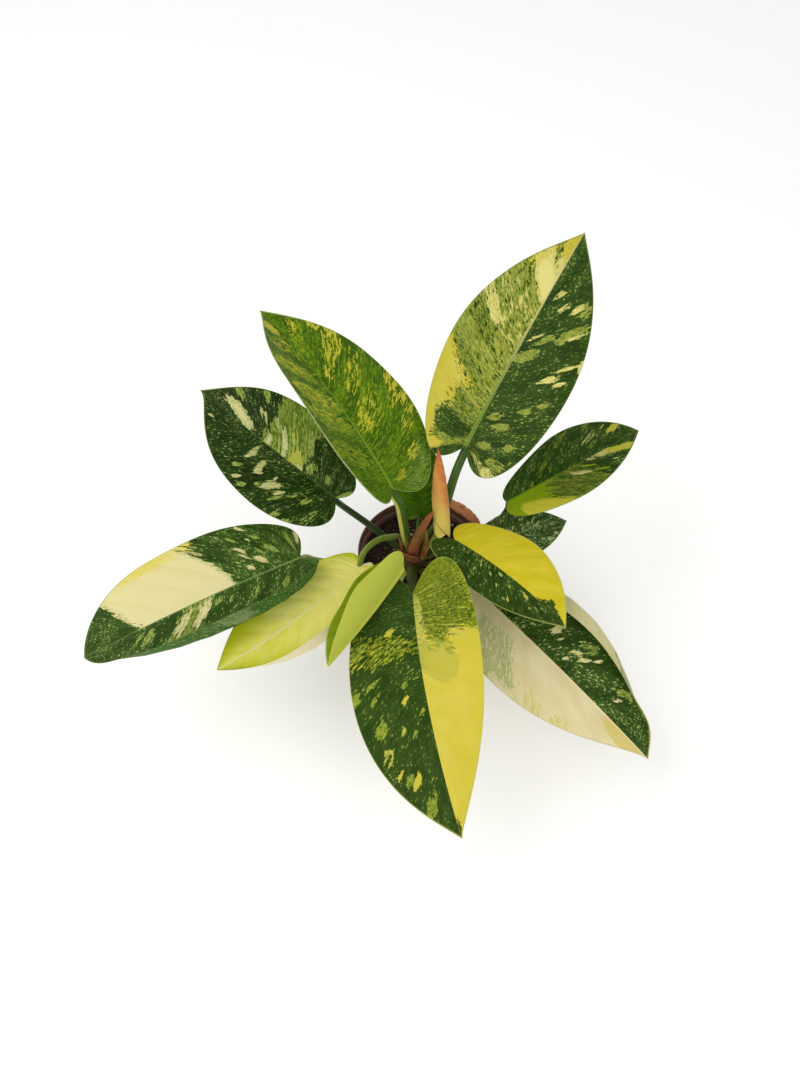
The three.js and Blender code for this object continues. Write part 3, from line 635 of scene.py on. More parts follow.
# Each leaf's marks by kind, as strokes_field reads them: c is cream, y yellow, g green, l lime,
# m mottle and o a veil of olive. Shares over 0 lie left of the midrib.
USUAL_HEIGHT_AND_LEAN = (100, 0)
STROKES = {
    "leaf_01": dict(
        C=[(279, 42, 8.5, 60)],
        c=[(234, 74, 5, 30, 35), (237, 30, 3, 35, -5), (247, 55, 5, 40, -10), (258, 35, 4, 40, -8),
           (292, 25, 8, 30, 30), (234, -80, 1.2, 16, 30), (246, -20, 1.4, 12), (254, -78, 3, 9),
           (273, -38, 2, 16, 30), (261, -56, 2.5, 10, 10), (205, -66, 3, 12), (211, -85, 1.6, 12),
           (199, -80, 2, 7), (210, -100, 5, 5), (75, -90, 14, 16, 20), (70, -50, 10, 30, 0)],
        y=[(162, 92, 32, 44), (184, 62, 7, 34, 100, -5), (128, 100, 36, 22), (86, 90, 13, 26),
           (306, 50, 13, 90, 40), (278, 95, 10, 20, 20)],
        g=[(130, 46, 20, 32), (155, 30, 20, 35, -8), (192, 50, 8, 35, -12), (222, 70, 5, 30, -10)],
        l=[(112, 22, 12, 10), (108, 50, 6, 12, 30), (245, 95, 22, 34, 20), (204, 88, 8, 20, 10),
           (237, -76, 4.5, 20), (232, -20, 5, 18), (241, -40, 2.5, 14), (160, -38, 4.5, 16),
           (173, -20, 5, 10, 30), (177, -55, 3, 9), (182, -75, 2, 9), (125, -30, 9, 11),
           (133, -68, 5.5, 9), (100, -75, 10, 20, 10), (250, -90, 4, 8, 10)],
        M=[(212, 50, 64, 80, 30)],
        m=[(110, 40, 30, 50, -5), (92, 65, 16, 40, 30), (293, 75, 5, 40, 20)],
    ),
    "leaf_02": dict(
        C=[(142, 100, 62, 4.5)],
        # On the right lobe: painted sheen, grey-white streaks of reflected light, laid as cream with a
        # height below 0
        c=[(85, -75, 40, 35, -30)],
        y=[(289, 62, 7, 40), (266, 65, 4, 20, -5), (276, 40, 2.5, 18, 10), (242, 65, 6, 30, -6),
           (216, 50, 8, 36, -5), (195, 55, 5, 30, -10), (254, -72, 5, 36, 0), (246, -85, 3, 14, 10),
           (266, -97, 5, 8, 15), (254, -33, 5, 16, 0), (285, -65, 4, 20, 0), (232, -60, 6, 26, -12),
           (210, -28, 10, 19, -8), (188, -85, 5, 16, 5), (196, -93, 5, 10, 10), (178, -90, 4, 10, 10),
           (165, -80, 8, 20, -12), (135, -62, 8, 12, 5), (120, -25, 12, 10, 0)],
        g=[(255, 55, 4, 50, 10), (231, 60, 3, 40, 10)],
        l=[(268, 45, 8, 45, 0), (242, 60, 10, 45, 30), (214, 45, 14, 45, 30), (190, 50, 12, 45, 20),
           (150, 55, 16, 40, 5), (207, -36, 13, 24, 10), (283, -60, 6, 40, 0)],
        M=[(160, 50, 160, 70, -10), (160, -50, 160, 70, -8)],
        # On the right lobe: painted sheen, a grey-green haze of reflected light, laid as the veil
        o=[(90, -75, 55, 45, 30)],
    ),
    "leaf_03": dict(
        c=[(273, -35, 9, 42, 100, 20), (250, -58, 1.6, 10, 20), (246, -50, 1.4, 12, 20),
           (225, -20, 3.5, 32), (206, -4, 10, 6, 40), (244, -8, 3.5, 17, 100, -10), (233, -52, 3, 10, 0),
           (234, 40, 3, 20, 15, -45), (213, 48, 4, 15, 30, -60), (186, 56, 7, 13, 35),
           (173, 57, 3.5, 8, 30), (203, 86, 2.5, 6), (205, 55, 2, 4), (195, 42, 1.5, 5, 100, -50),
           (275, 82, 2, 7, 30)],
        y=[(209, -10, 9, 20, 100, -25), (214, -42, 2, 14, 20)],
        g=[(236, -72, 5, 14)],
        l=[(268, -88, 4, 12), (240, -88, 3.5, 13), (189, -52, 5, 20), (186, -12, 5, 8, 20),
           (180, -22, 5, 6, 20), (150, -20, 6, 7), (30, -50, 25, 65), (167, 68, 3, 9), (161, 46, 3, 6),
           (142, 42, 5, 10), (144, 93, 4, 6), (127, 100, 6, 8), (218, 74, 3, 7), (193, 90, 4, 7, 30),
           (190, 70, 3, 5), (105, 75, 10, 20, 0)],
        M=[(213, -45, 27, 65, 100, -32)],
    ),
    "leaf_04": dict(
        C=[(241, -55, 39, 70, 100, -20)],
        c=[(172, -48, 3.5, 8), (170, -22, 5, 8), (188, -15, 3, 5, 30), (138, -90, 2.5, 8),
           (178, -34, 2, 7, 20), (50, -85, 10, 30), (292, -30, 3, 15), (150, -62, 2, 5),
           (195, -75, 2, 10, 10), (238, 25, 4.5, 26), (252, 30, 3.5, 22, 30), (185, 86, 12, 13, 5)],
        y=[(220, -100, 36, 20)],
        g=[(293, -50, 11, 120)],
        l=[(138, -65, 4, 6), (142, -35, 6, 10), (162, -70, 2, 7), (158, -34, 2, 6, 30), (85, -45, 8, 35),
           (298, -70, 2, 10), (275, 35, 3, 20), (282, 30, 1.5, 15), (228, 15, 3, 6), (217, 20, 2, 6),
           (150, 35, 6, 10), (190, 25, 2, 8)],
        M=[(245, 30, 11, 34)],
        o=[(185, 92, 14, 20)],
    ),
    "leaf_05": dict(
        o=[(150, 30, 100, 80, 50), (160, -35, 100, 70, 50)],
    ),
    "leaf_07": dict(
        c=[(160, 5, 48, 9, 50), (242, -50, 2, 5), (242, -85, 4, 10, 0)],
        y=[(186, 80, 8, 35), (175, -70, 5, 30, -20), (229, -33, 2.5, 6, 50), (170, -40, 3, 8),
           (255, -82, 2, 8, 20), (267, -68, 2.5, 12, 30)],
        g=[(150, 45, 35, 40, -20), (312, 40, 8, 50)],
        l=[(187, -36, 4, 12, 10), (168, -90, 6, 15, 10), (228, -76, 5, 9), (262, -78, 2, 12, 40),
           (283, -80, 4, 25), (197, -95, 5, 6), (220, -30, 2, 6), (245, -12, 2, 8, 20),
           (200, -70, 2, 10, 20), (210, -70, 2, 8, 20), (250, -35, 2, 7, 20)],
        M=[(90, 50, 93, 72), (160, 36, 36, 22)],
        m=[(178, -60, 12, 56, 12, -34)],
        o=[(208, 28, 17, 36, 30)],
    ),
    "leaf_08": dict(
        c=[(293, 42, 3, 12, 30), (290, 25, 2, 10, 20), (227, -52, 1.5, 5, 10)],
        y=[(242, -72, 2, 7, 20), (266, -27, 3, 9, 20)],
        G=[(302, 15, 21, 42)],
        l=[(194, -45, 2, 6), (195, -62, 1.5, 4, 30), (217, -30, 2, 6, 20), (235, -13, 1.5, 4, 20),
           (245, -35, 1.5, 5, 30), (253, -55, 1, 8), (276, -60, 1, 12), (135, -35, 3, 7, 10),
           (285, -35, 1.5, 8, 20)],
        m=[(190, -15, 35, 18, -30)],
        o=[(120, 50, 110, 120, 35)],
    ),
    "leaf_09": dict(
        C=[(200, 90, 42, 20)],
        c=[(222, 33, 2.5, 8, 30, -30), (230, 27, 1.2, 5, 20), (243, 33, 2.2, 6, 30), (249, 36, 1.6, 8, 40),
           (246, 16, 1.5, 4, 20), (277, 45, 1.2, 10, 20), (250, 50, 1.5, 5), (248, 86, 3, 6)],
        y=[(265, 85, 3, 6), (222, -92, 6, 16, 0), (242, -95, 8, 10, 0), (293, -60, 14, 50, 30)],
        g=[(170, -97, 8, 8, 10), (212, -75, 1, 1.8, 60)],
        l=[(240, 50, 5, 8, 10), (272, 62, 3, 12), (260, 92, 16, 14)],
        M=[(186, -58, 20, 32, 14)],
        m=[(176, -88, 10, 20, 30)],
    ),
    "leaf_10": dict(
        c=[(258, 87, 1.2, 8), (250, 62, 5, 14, -5), (130, -104, 30, 10, 20), (274, -10, 8, 42),
           (262, -15, 1.6, 17), (255, -80, 1.6, 7), (232, -40, 4.5, 18)],
        y=[(273, 85, 6, 13, 50), (278, -60, 8.5, 62)],
        g=[(223, -22, 5, 14, 10), (210, -80, 3, 20, 0), (243, -55, 3, 40, 20)],
        L=[(90, -50, 90, 65, 100, -60)],
        l=[(175, 45, 2.5, 6, 20), (225, 55, 2, 12, 10), (247, -35, 3, 18), (238, -72, 3, 13)],
        M=[(206, -60, 30, 62, 100, -35)],
        m=[(234, 90, 5, 7), (260, 38, 2, 13), (200, 80, 5, 12, 10), (197, 38, 5, 18), (212, 20, 2, 12),
           (184, 10, 3, 6), (272, 60, 1.5, 10, 10)],
        o=[(136, -92, 42, 62)],
    ),
    "leaf_11": dict(
        c=[(272, -85, 3, 8, 20), (220, 45, 2.5, 25, 15), (234, 70, 2, 20, 20), (255, 55, 2.5, 20, 20),
           (220, -50, 2, 25, 10), (200, 65, 1.5, 15, 20)],
        l=[(250, 35, 2.5, 16), (242, 20, 2, 10), (267, 35, 2.5, 16), (280, 14, 22, 5, 30), (162, 97, 5, 8),
           (258, -85, 3, 10, 20), (242, -20, 3, 8, 10)],
    ),
    "leaf_12": dict(
        l=[(70, 60, 20, 30, -10)],
    ),
}


def blade_finish(name, look, length, seed):
    """A waxy blade whose marks have edges that run out along the veins.

    Green with flecks lies lowest. Mottle, lime, cream, yellow, green again and a veil are laid over
    it, each where its field of strokes plus a ragged noise passes 0. Then come the nerves, the
    midrib, the margin and the paler underside.
    """
    m = Finish(name)
    x, y, face = m.attribute("place")
    theta, v, edge = m.attribute("veins")
    cream, yellow, green = m.attribute("paint")
    lime, mottle, veil = m.attribute("tint")
    size = length / 130

    def grown(along, across, shift, detail=2, roughness=0.5):
        """Noise with so many cells along the rows and across them."""
        return m.noise(m.vector(theta * along, v * across, seed + shift), 1, detail, roughness)

    broad = grown(7, 2.2, 0)
    streak = grown(28 * size, 4.5 * size, 3, 3, 0.6)
    fleck = grown(44 * size, 12 * size, 6, 2, 0.7)
    dash = grown(48 * size, 9 * size, 9, 2, 0.6)
    grain = grown(75 * size, 26 * size, 12, 1)
    long = grown(24 * size, 1.5, 15, 2, 0.6)
    green_base = m.mix(broad.over(0.35, 0.65), look.dark, look.mid)
    green_base = m.mix((streak + dash * 0.4).over(0.68, 0.84) * look.streaks, green_base, look.olive)
    dots = fleck + (broad - 0.5) * 0.3 + (streak - 0.5) * 0.3
    flecked = dots.over(look.flecks, look.flecks + 0.05) * look.fleck_share
    base = green_base = m.mix(flecked, green_base, look.fleck)
    if look.half_side:
        half = m.mix(broad.over(0.3, 0.7), look.half_low, look.half_high)
        base = m.mix((v * look.half_side).over(-0.01, 0.01), base, half)
    if look.outer:
        reach = (v * look.half_side if look.half_side else abs(v)).over(0.15, 1.0)
        base = m.mix(reach * look.outer_share, base, look.outer)
    ragged = (streak - 0.5) + (dash - 0.5) * 0.4 + (grain - 0.5) * 0.25
    ragged = ragged * look.jag + (broad - 0.5) * 0.4
    brighter = (streak + dash * 0.4 + broad * 0.4).over(0.78, 1.0)
    mottled = m.mix(brighter, look.mottle_low, look.mottle_high)
    mottled = m.mix((dash + grain * 0.5 + streak * 0.3).over(0.98, 1.06), mottled, look.mottle_top)
    streaked = (long + dash * 0.15 - abs(v) * 0.1).over(0.58, 0.68)
    mottled = m.mix(streaked * 0.75, mottled, look.mottle_top)
    mottled = m.mix((1 - (dash + grain * 0.3).over(0.54, 0.6)) * look.holes, mottled, green_base)
    base = m.mix((mottle + ragged * 1.2).over(-0.03, 0.05), base, mottled)
    limes = m.mix((dash + grain * 0.6).over(0.74, 0.88), look.lime, look.lime_high)
    base = m.mix((lime + ragged).over(-0.03, 0.05), base, limes)
    base = m.mix((cream + ragged + 0.12).over(-0.04, 0.05) * look.halo, base, look.mottle_low)
    pale = m.mix(broad.over(0.42, 0.66) * look.stains, look.cream, look.stain)
    small = 1 - cream.over(0.5, 0.95)
    pale = m.mix((dash + grain * 0.5).over(0.68, 0.86) * small * 0.6, pale, look.mottle_high)
    base = m.mix((cream + ragged).over(-0.02, 0.05), base, pale)
    golden = m.mix(broad.over(0.4, 0.7) * 0.4, look.yellow, look.stain)
    base = m.mix((yellow + ragged).over(-0.02, 0.06 + cream.over(0, 0.2) * 0.5), base, golden)
    base = m.mix((green + ragged).over(-0.02, 0.04), base, green_base)
    base = m.mix((veil + ragged * 0.5).over(-0.02, look.veil_soft) * look.veil_share, base, look.veil)
    nerve = abs((theta * (SIDE_VEINS / math.pi) + 0.5) % 1 - 0.5)
    lines = (1 - nerve.over(0.02, 0.1)) * abs(y).over(2, 9)
    base = m.mix(lines * look.nerves, base, tone(60, 80, 20))
    rib_width = look.rib_wide * (1.0 - x * (0.8 / length))
    rib = (1 - (abs(y) - rib_width).over(-0.25, 0.35)) * x.over(-4, 0) * look.rib_share
    base = m.mix(rib, base, m.mix((x / length).over(0.1, 0.8), look.rib, look.rib_tip))
    margin = 1 - (edge * (1 - abs(v))).over(0.2, 0.7)
    base = m.mix(margin * 0.7, base, look.margin)
    under = m.mix(look.under_share, base, look.under)
    under = m.mix((dash + grain * 0.4).over(0.76, 0.86) * look.under_dots, under, look.under_dot)
    colour = m.mix(face.over(0.4, 0.6), under, base)
    rough = m.noise(m.vector(x * 0.09, y * 0.09, seed), 1, 3)
    fine = m.noise(m.vector(x * 0.9, y * 0.9, seed), 1, 2)
    height = nerve.over(0.0, 0.16) * 0.5 + fine * 0.22 + streak * 0.12
    return m.close(colour, 0.36 + rough * 0.16 + (1 - face) * 0.18, m.bump(height, 0.35, 0.0004),
                   Specular_IOR_Level=look.gloss, Specular_Tint=(1, 0.97, 0.7))


def stalk_finish(name, top, side, foot, split=0.15):
    """A smooth stalk with fine lines along it, and a side colour that split draws to one side."""
    m = Finish(name)
    run, a, b = m.attribute("run")
    lines = m.noise(m.vector(run * 3, a * 5, b * 5), 2, 2)
    blush = m.noise(m.vector(run * 1.5, a * 2.5, b * 2.5), 1, 2)
    colour = m.laid(
        top,
        ((blush + b * split).over(0.42, 0.58), side),
        (1 - run.over(0.05, 0.35), foot),
        (lines.over(0.45, 0.75) * 0.2, (175, 180, 120)),
    )
    return m.close(colour, 0.36 + lines * 0.15, m.bump(lines, 0.25, 0.0005), Specular_IOR_Level=0.15)


# The colours and strengths that blade_finish reads: the common ones, then each leaf's own. Colours
# are as a screen shows them, from 0 to 255.
COMMON = dict(
    dark=(32, 54, 12), mid=(46, 70, 22), olive=(66, 92, 36), fleck=(174, 188, 110), flecks=0.63,
    fleck_share=0.95, streaks=0.5, jag=2.2, halo=0.3, stains=0.5, nerves=0.08, gloss=0.12, rib_wide=1.4,
    rib_share=0.4, lime=(98, 124, 44), lime_high=(160, 174, 88), mottle_low=(84, 108, 32),
    mottle_high=(130, 146, 62), mottle_top=(176, 184, 100), holes=0.6, yellow=(203, 191, 66),
    cream=(222, 210, 150), stain=(200, 192, 104), rib=(84, 112, 48), rib_tip=(104, 130, 66),
    margin=(110, 130, 66), under=(82, 112, 60), under_share=0.6, under_dots=0.3, under_dot=(140, 164, 104),
    veil=(150, 156, 74), veil_share=0.5, veil_soft=0.05, half_side=0, outer=None,
)
LOOKS = {
    "leaf_01": dict(
        mottle_low=(108, 124, 36), mottle_high=(142, 150, 60), mottle_top=(172, 176, 84),
        rib=(112, 136, 56), rib_tip=(200, 194, 130), rib_wide=2.1, rib_share=0.85, yellow=(192, 180, 60),
        flecks=0.61, fleck=(156, 170, 88), cream=(222, 212, 130), dark=(34, 58, 12), mid=(48, 74, 22),
        stain=(206, 196, 98), holes=0.08, lime=(112, 128, 42), lime_high=(156, 164, 76),
    ),
    "leaf_02": dict(
        dark=(54, 86, 0), mid=(70, 102, 4), olive=(84, 116, 10), fleck=(134, 158, 44), flecks=0.6,
        mottle_low=(66, 102, 0), mottle_high=(86, 120, 8), mottle_top=(124, 150, 34), lime=(92, 122, 10),
        lime_high=(142, 158, 36), yellow=(184, 178, 54), stain=(164, 170, 50), rib=(122, 154, 50),
        # veil is the right lobe's painted sheen haze; cream is the left margin's own line and also the
        # right lobe's painted sheen streaks
        rib_tip=(92, 130, 20), rib_share=0.8, margin=(160, 176, 104), veil=(112, 138, 76), veil_soft=0.8,
        cream=(176, 190, 130), halo=0.0, rib_wide=1.1, gloss=0.14, jag=2.6,
    ),
    "leaf_03": dict(
        dark=(24, 44, 8), mid=(36, 60, 16), mottle_low=(84, 110, 26), mottle_high=(120, 140, 54),
        mottle_top=(168, 180, 90), cream=(208, 204, 144), yellow=(170, 176, 66), stain=(176, 184, 108),
        rib_share=0.25, holes=0.3, flecks=0.62, fleck=(166, 178, 108),
    ),
    "leaf_04": dict(
        dark=(40, 66, 18), mid=(60, 90, 34), flecks=0.6, cream=(225, 215, 158), stain=(221, 211, 144),
        yellow=(222, 208, 96), under=(62, 100, 44), under_share=0.75, under_dots=0.8, rib=(118, 145, 80),
        rib_tip=(118, 142, 76), rib_wide=0.9, rib_share=0.8, nerves=0.03, veil=(196, 198, 150),
    ),
    "leaf_05": dict(
        dark=(228, 224, 84), mid=(238, 232, 112), olive=(242, 236, 150), streaks=0.3, fleck_share=0.0,
        rib=(234, 230, 130), rib_tip=(240, 234, 176), rib_wide=2.6, rib_share=0.7, outer=(190, 200, 8),
        outer_share=0.9, margin=(160, 168, 20), under=(226, 216, 176), under_share=0.95, nerves=0.05,
        under_dots=0.0, veil=(244, 236, 160), veil_soft=0.9,
    ),
    "leaf_06": dict(
        dark=(118, 142, 12), mid=(132, 150, 18), olive=(144, 160, 30), fleck_share=0.0, streaks=0.2,
        rib=(120, 142, 24), rib_tip=(130, 152, 30), margin=(196, 200, 110), under=(182, 190, 76),
        under_share=0.95, nerves=0.05, under_dots=0.1, under_dot=(186, 192, 90),
    ),
    "leaf_07": dict(
        half_side=1, half_low=(206, 191, 66), half_high=(212, 197, 82), mottle_low=(92, 108, 8),
        mottle_high=(122, 136, 28), mottle_top=(176, 180, 66), lime=(100, 124, 34),
        lime_high=(152, 164, 62), cream=(196, 194, 92), stain=(190, 186, 84), yellow=(200, 188, 60),
        rib_share=0.0, margin=(170, 172, 84), veil=(168, 170, 66), outer=(198, 180, 42), outer_share=0.35,
        holes=0.85, fleck=(150, 164, 76), dark=(40, 64, 16), mid=(52, 76, 26), nerves=0.02,
    ),
    "leaf_08": dict(
        half_side=1, half_low=(198, 184, 36), half_high=(210, 194, 54), veil=(172, 166, 24),
        veil_share=0.6, veil_soft=0.9, mottle_low=(66, 82, 30), mottle_high=(100, 108, 44), rib_share=0.0,
        yellow=(180, 172, 60), margin=(176, 178, 100), dark=(38, 60, 12), mid=(52, 76, 24), nerves=0.02,
        flecks=0.635,
    ),
    "leaf_09": dict(
        half_side=-1, half_low=(224, 210, 158), half_high=(232, 220, 172), mottle_low=(152, 164, 98),
        mottle_high=(190, 194, 130), mottle_top=(200, 196, 150), yellow=(218, 202, 118),
        cream=(226, 216, 160), stain=(206, 200, 128), rib_share=0.0, margin=(200, 188, 126),
        under=(184, 180, 136), under_share=0.5, holes=0.0, nerves=0.02, flecks=0.605, dark=(38, 62, 18),
        mid=(54, 80, 30),
    ),
    "leaf_10": dict(
        lime=(120, 146, 14), lime_high=(138, 158, 24), yellow=(184, 184, 54), cream=(206, 202, 136),
        mottle_low=(70, 92, 22), mottle_high=(104, 120, 40), mottle_top=(140, 150, 60), rib=(112, 146, 34),
        rib_tip=(80, 104, 44), fleck=(138, 160, 84), dark=(38, 62, 16), mid=(52, 78, 26), flecks=0.6,
        veil=(196, 190, 60), veil_share=0.85, veil_soft=0.9,
    ),
    "leaf_11": dict(
        cream=(170, 182, 120), lime=(116, 138, 84), lime_high=(158, 172, 120), dark=(50, 72, 28),
        mid=(68, 92, 46), fleck=(180, 192, 146), flecks=0.585, rib=(110, 134, 80), rib_tip=(120, 140, 90),
    ),
    "leaf_12": dict(
        dark=(50, 86, 8), mid=(70, 108, 12), olive=(90, 128, 20), fleck_share=0.0, rib_share=0.1,
        margin=(110, 142, 44),
    ),
}

# Stalk colours: above, to the side and at the foot, then split where it isn't the usual one
STALKS = {
    "leaf_01": ((44, 72, 22), (62, 92, 34), (84, 88, 40)),
    "leaf_02": ((58, 90, 20), (186, 182, 84), (130, 118, 52), 0.8),
    "leaf_03": ((32, 56, 22), (52, 76, 36), (66, 70, 34)),
    "leaf_04": ((140, 154, 84), (196, 186, 146), (116, 118, 60)),
    "leaf_05": ((104, 128, 46), (146, 144, 60), (106, 106, 46)),
    "leaf_06": ((104, 128, 40), (136, 148, 56), (104, 100, 46)),
    "leaf_07": ((58, 70, 24), (82, 96, 40), (66, 72, 30)),
    "leaf_08": ((62, 90, 34), (112, 124, 52), (92, 92, 46)),
    "leaf_09": ((70, 94, 40), (130, 138, 76), (98, 98, 52)),
    "leaf_10": ((40, 68, 24), (66, 92, 40), (80, 82, 40)),
    "leaf_11": ((46, 74, 28), (72, 98, 44), (84, 86, 42)),
    "leaf_12": ((44, 78, 18), (70, 104, 34), (84, 88, 40)),
}


def leaf_look(name):
    """A leaf's own look over the common one, with each colour made a tone."""
    look = {**COMMON, **LOOKS[name]}.items()
    return SimpleNamespace(**{k: tone(*v) if isinstance(v, tuple) else v for k, v in look})


for number, (name, shape) in enumerate(LEAVES.items()):
    parts, fields = blade_parts(shape, STROKES.get(name, {}))
    finish = blade_finish("blade_finish" + name[4:], leaf_look(name), shape.length, 11.0 * number)
    put_mesh("blade" + name[4:], parts, finish, [name], fields)
    parts, fields = stalk_parts(shape)
    finish = stalk_finish("stalk_finish" + name[4:], *STALKS[name])
    put_mesh("stalk" + name[4:], parts, finish, [name], fields)


# The rolled leaf

ROLL_FOOT = np.array([17, -16, 161.5])
ROLL_TIP = np.array([12, 13, 241.0])
ROLL_RADIUS = 8.2
ROLL_STEP = 1.5
ROLL_STALK = 2.4
ROLL_THROUGH = [(-1, -17.5, 118), (1.2, -17, 127), (6.5, -15, 138), (11.5, -14, 150)]


def rolled_parts():
    """A sheet rolled round its axis: the reach falls by one step over a turn, which leaves an edge.

    The girth is the radius times 1 less the cube of the share of the height. The line of the edge
    turns as it climbs, and the lobes hang below the foot.
    """
    tall = np.linalg.norm(ROLL_TIP - ROLL_FOOT)
    up = (ROLL_TIP - ROLL_FOOT) / tall
    across = np.array([1.0, 0, 0]) - up * up[0]
    across /= np.linalg.norm(across)
    back = np.cross(up, across)
    share = np.linspace(0, 1, 70)[:, None]
    turn = np.concatenate([[0, 0.004, 0.012], np.linspace(0.03, 1, 70)])[None]
    girth = ROLL_RADIUS * (1 - share**3) * (1 - 0.1 * np.exp(-share / 0.04))
    angle = 2 * np.pi * turn - 0.75 - 2.9 * (1 - np.exp(-4 * share))
    reach = girth * (1 - ROLL_STEP / ROLL_RADIUS * turn) * (1 - 0.06 * np.exp(-turn / 0.006))
    reach = reach + 0.12 * np.sin(60 * share - 5 * angle) * np.minimum(1, girth / 4)
    lobes = 6 * np.exp(-(((turn - 0.08) / 0.07) ** 2)) + 3.5 * np.exp(-(((turn - 0.8) / 0.1) ** 2))
    height = share * tall - np.exp(-share / 0.08) * lobes
    rings = (ROLL_FOOT + up * height[..., None] + across * (reach * np.cos(angle))[..., None]
             + back * (reach * np.sin(angle))[..., None])
    rings = np.concatenate([np.broadcast_to(ROLL_FOOT + up * 2, rings[:1].shape), rings])
    share, angle = (np.concatenate([rows[:1], rows]) for rows in (share, angle))
    path, _ = smooth_curve([*ROLL_THROUGH, ROLL_FOOT + up * 8], 60)
    stalk = closed_tube(tube_rings(path, ROLL_STALK, whole_turn(24)))
    on_stalk = np.full(stalk[0].shape, [-0.2, 0, 0])
    field = np.concatenate([stacked(share, turn, angle).reshape(-1, 3), on_stalk])
    return [ring_surface(rings), stalk], {"roll": field}


def rolled_finish():
    """Yellow at the foot to peach at the tip, with slanting veins and a darker line at the edge."""
    m = Finish("rolled_leaf")
    share, turn, angle = m.attribute("roll")
    slant = m.noise(m.vector(share * 30 + angle * 1.6, angle * 0.5, 2.0), 1, 2)
    broad = m.noise(m.vector(share * 5, angle, 5.0), 1, 2)
    speck = m.noise(m.vector(share * 90, angle * 9, 8.0), 1, 2)
    right = (angle + math.pi / 2).sine()
    colour = m.laid(
        (214, 196, 94),
        (share.over(0.12, 0.55), (208, 150, 76)),
        ((share * 0.8 + right * 0.32 + broad * 0.3).over(0.45, 0.8), (196, 118, 62)),
        ((share + speck * 0.4).over(0.9, 1.15), (182, 96, 62)),
        ((slant + speck * 0.5).over(0.75, 0.95) * 0.3, (226, 186, 92)),
        (speck.over(0.56, 0.66) * 0.3, (186, 120, 62)),
        ((1 - turn.over(0.006, 0.03)) * 0.85, (146, 92, 36)),
        (turn.over(0.93, 1.0) * 0.4, (150, 120, 40)),
        ((1 - share.over(0.0, 0.02)) * share.over(-0.06, -0.01), (226, 214, 140)),
        (1 - share.over(-0.12, -0.02), (138, 146, 56)),
    )
    return m.close(colour, 0.38 + slant * 0.12, m.bump(slant, 0.3, 0.0006), Specular_IOR_Level=0.15)


parts, fields = rolled_parts()
put_mesh("rolled_leaf", parts, rolled_finish(), ["new_leaf"], fields)

# Stem, sheaths, pot and soil, in millimetres and degrees


def node_box(name):
    """The lowest and the highest corner of one of the frame's nodes, in millimetres."""
    return [np.round(np.array(corner) / MM, 1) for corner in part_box(name)]


RIM_RADIUS, _, POT_HEIGHT = node_box("pot")[1]
stem_low, stem_high = node_box("stem")
STEM_X, STEM_Y, _ = (stem_low + stem_high) / 2
STEM_FOOT, STEM_TOP = stem_low[2], stem_high[2] - 0.6
STEM_NECK = STEM_TOP - 3
STEM_RADIUS = 8.5
SCAR_FIRST, SCAR_PITCH, SCAR_DEPTH = 62, 12.1, 0.3
SHEATH_HALF = 0.4
COLLAR_FROM, COLLAR_TO = 292, 172
COLLAR_RADIUS, COLLAR_FLARE = 9.6, 6.5
COLLAR_LOW, COLLAR_TALL, COLLAR_POINT = 122.3, 12.5, 127
DRIED_FROM, DRIED_SPAN = 27, 45
DRIED_RADIUS, DRIED_HALF, DRIED_SAG = 61.5, 5.5, 1.4
NECK_HEIGHT, NECK_RADIUS, NECK_STEP = POT_HEIGHT - 10, 57.3, 1.1
LIP_WIDE, LIP_TALL = 0.6, 0.7
BASE_RADIUS = 42
POT_WALL, POT_FLOOR = 1.6, 2.4
HOLE_RADIUS, HOLE_CIRCLE, HOLE_COUNT = 4, 27, 6
SOIL_LEVEL, SOIL_SLOPE, SOIL_RADIUS = 94, 1.6, 54.7
LUMPS_WITHIN, LUMPS_BEYOND_STEM = 53, 11
CLEARANCE = 0.3


def sheath_finish(name, foot, middle, tip):
    """Papery skin: lengthwise fibres, darker cracks, and colours that change from foot to tip."""
    m = Finish(name)
    share, around, edge = m.attribute("skin")
    fibre = m.noise(m.vector(share * 3, around * 26, 1.0), 1, 3, 0.65)
    blotch = m.noise(m.vector(share * 7, around * 4, 4.0), 1, 3)
    colour = m.laid(
        foot,
        (share.over(0.05, 0.45), middle),
        (share.over(0.5, 0.9), tip),
        (fibre.over(0.45, 0.7) * 0.45, (176, 112, 68)),
        (blotch.over(0.52, 0.7) * 0.5, (84, 46, 24)),
        (edge.over(0.6, 1.0) * 0.5, (186, 108, 74)),
    )
    height = fibre + blotch * 0.4
    return m.close(colour, 0.5 + fibre * 0.2, m.bump(height, 0.5, 0.0006), Specular_IOR_Level=0.15)


def sheet_fields(share, u):
    """Share along, place around from 0 to 1 and nearness to the side edges, for both faces."""
    face = stacked(share, u, np.abs(2 * u - 1)).reshape(-1, 3)
    return {"skin": np.concatenate([face, face])}


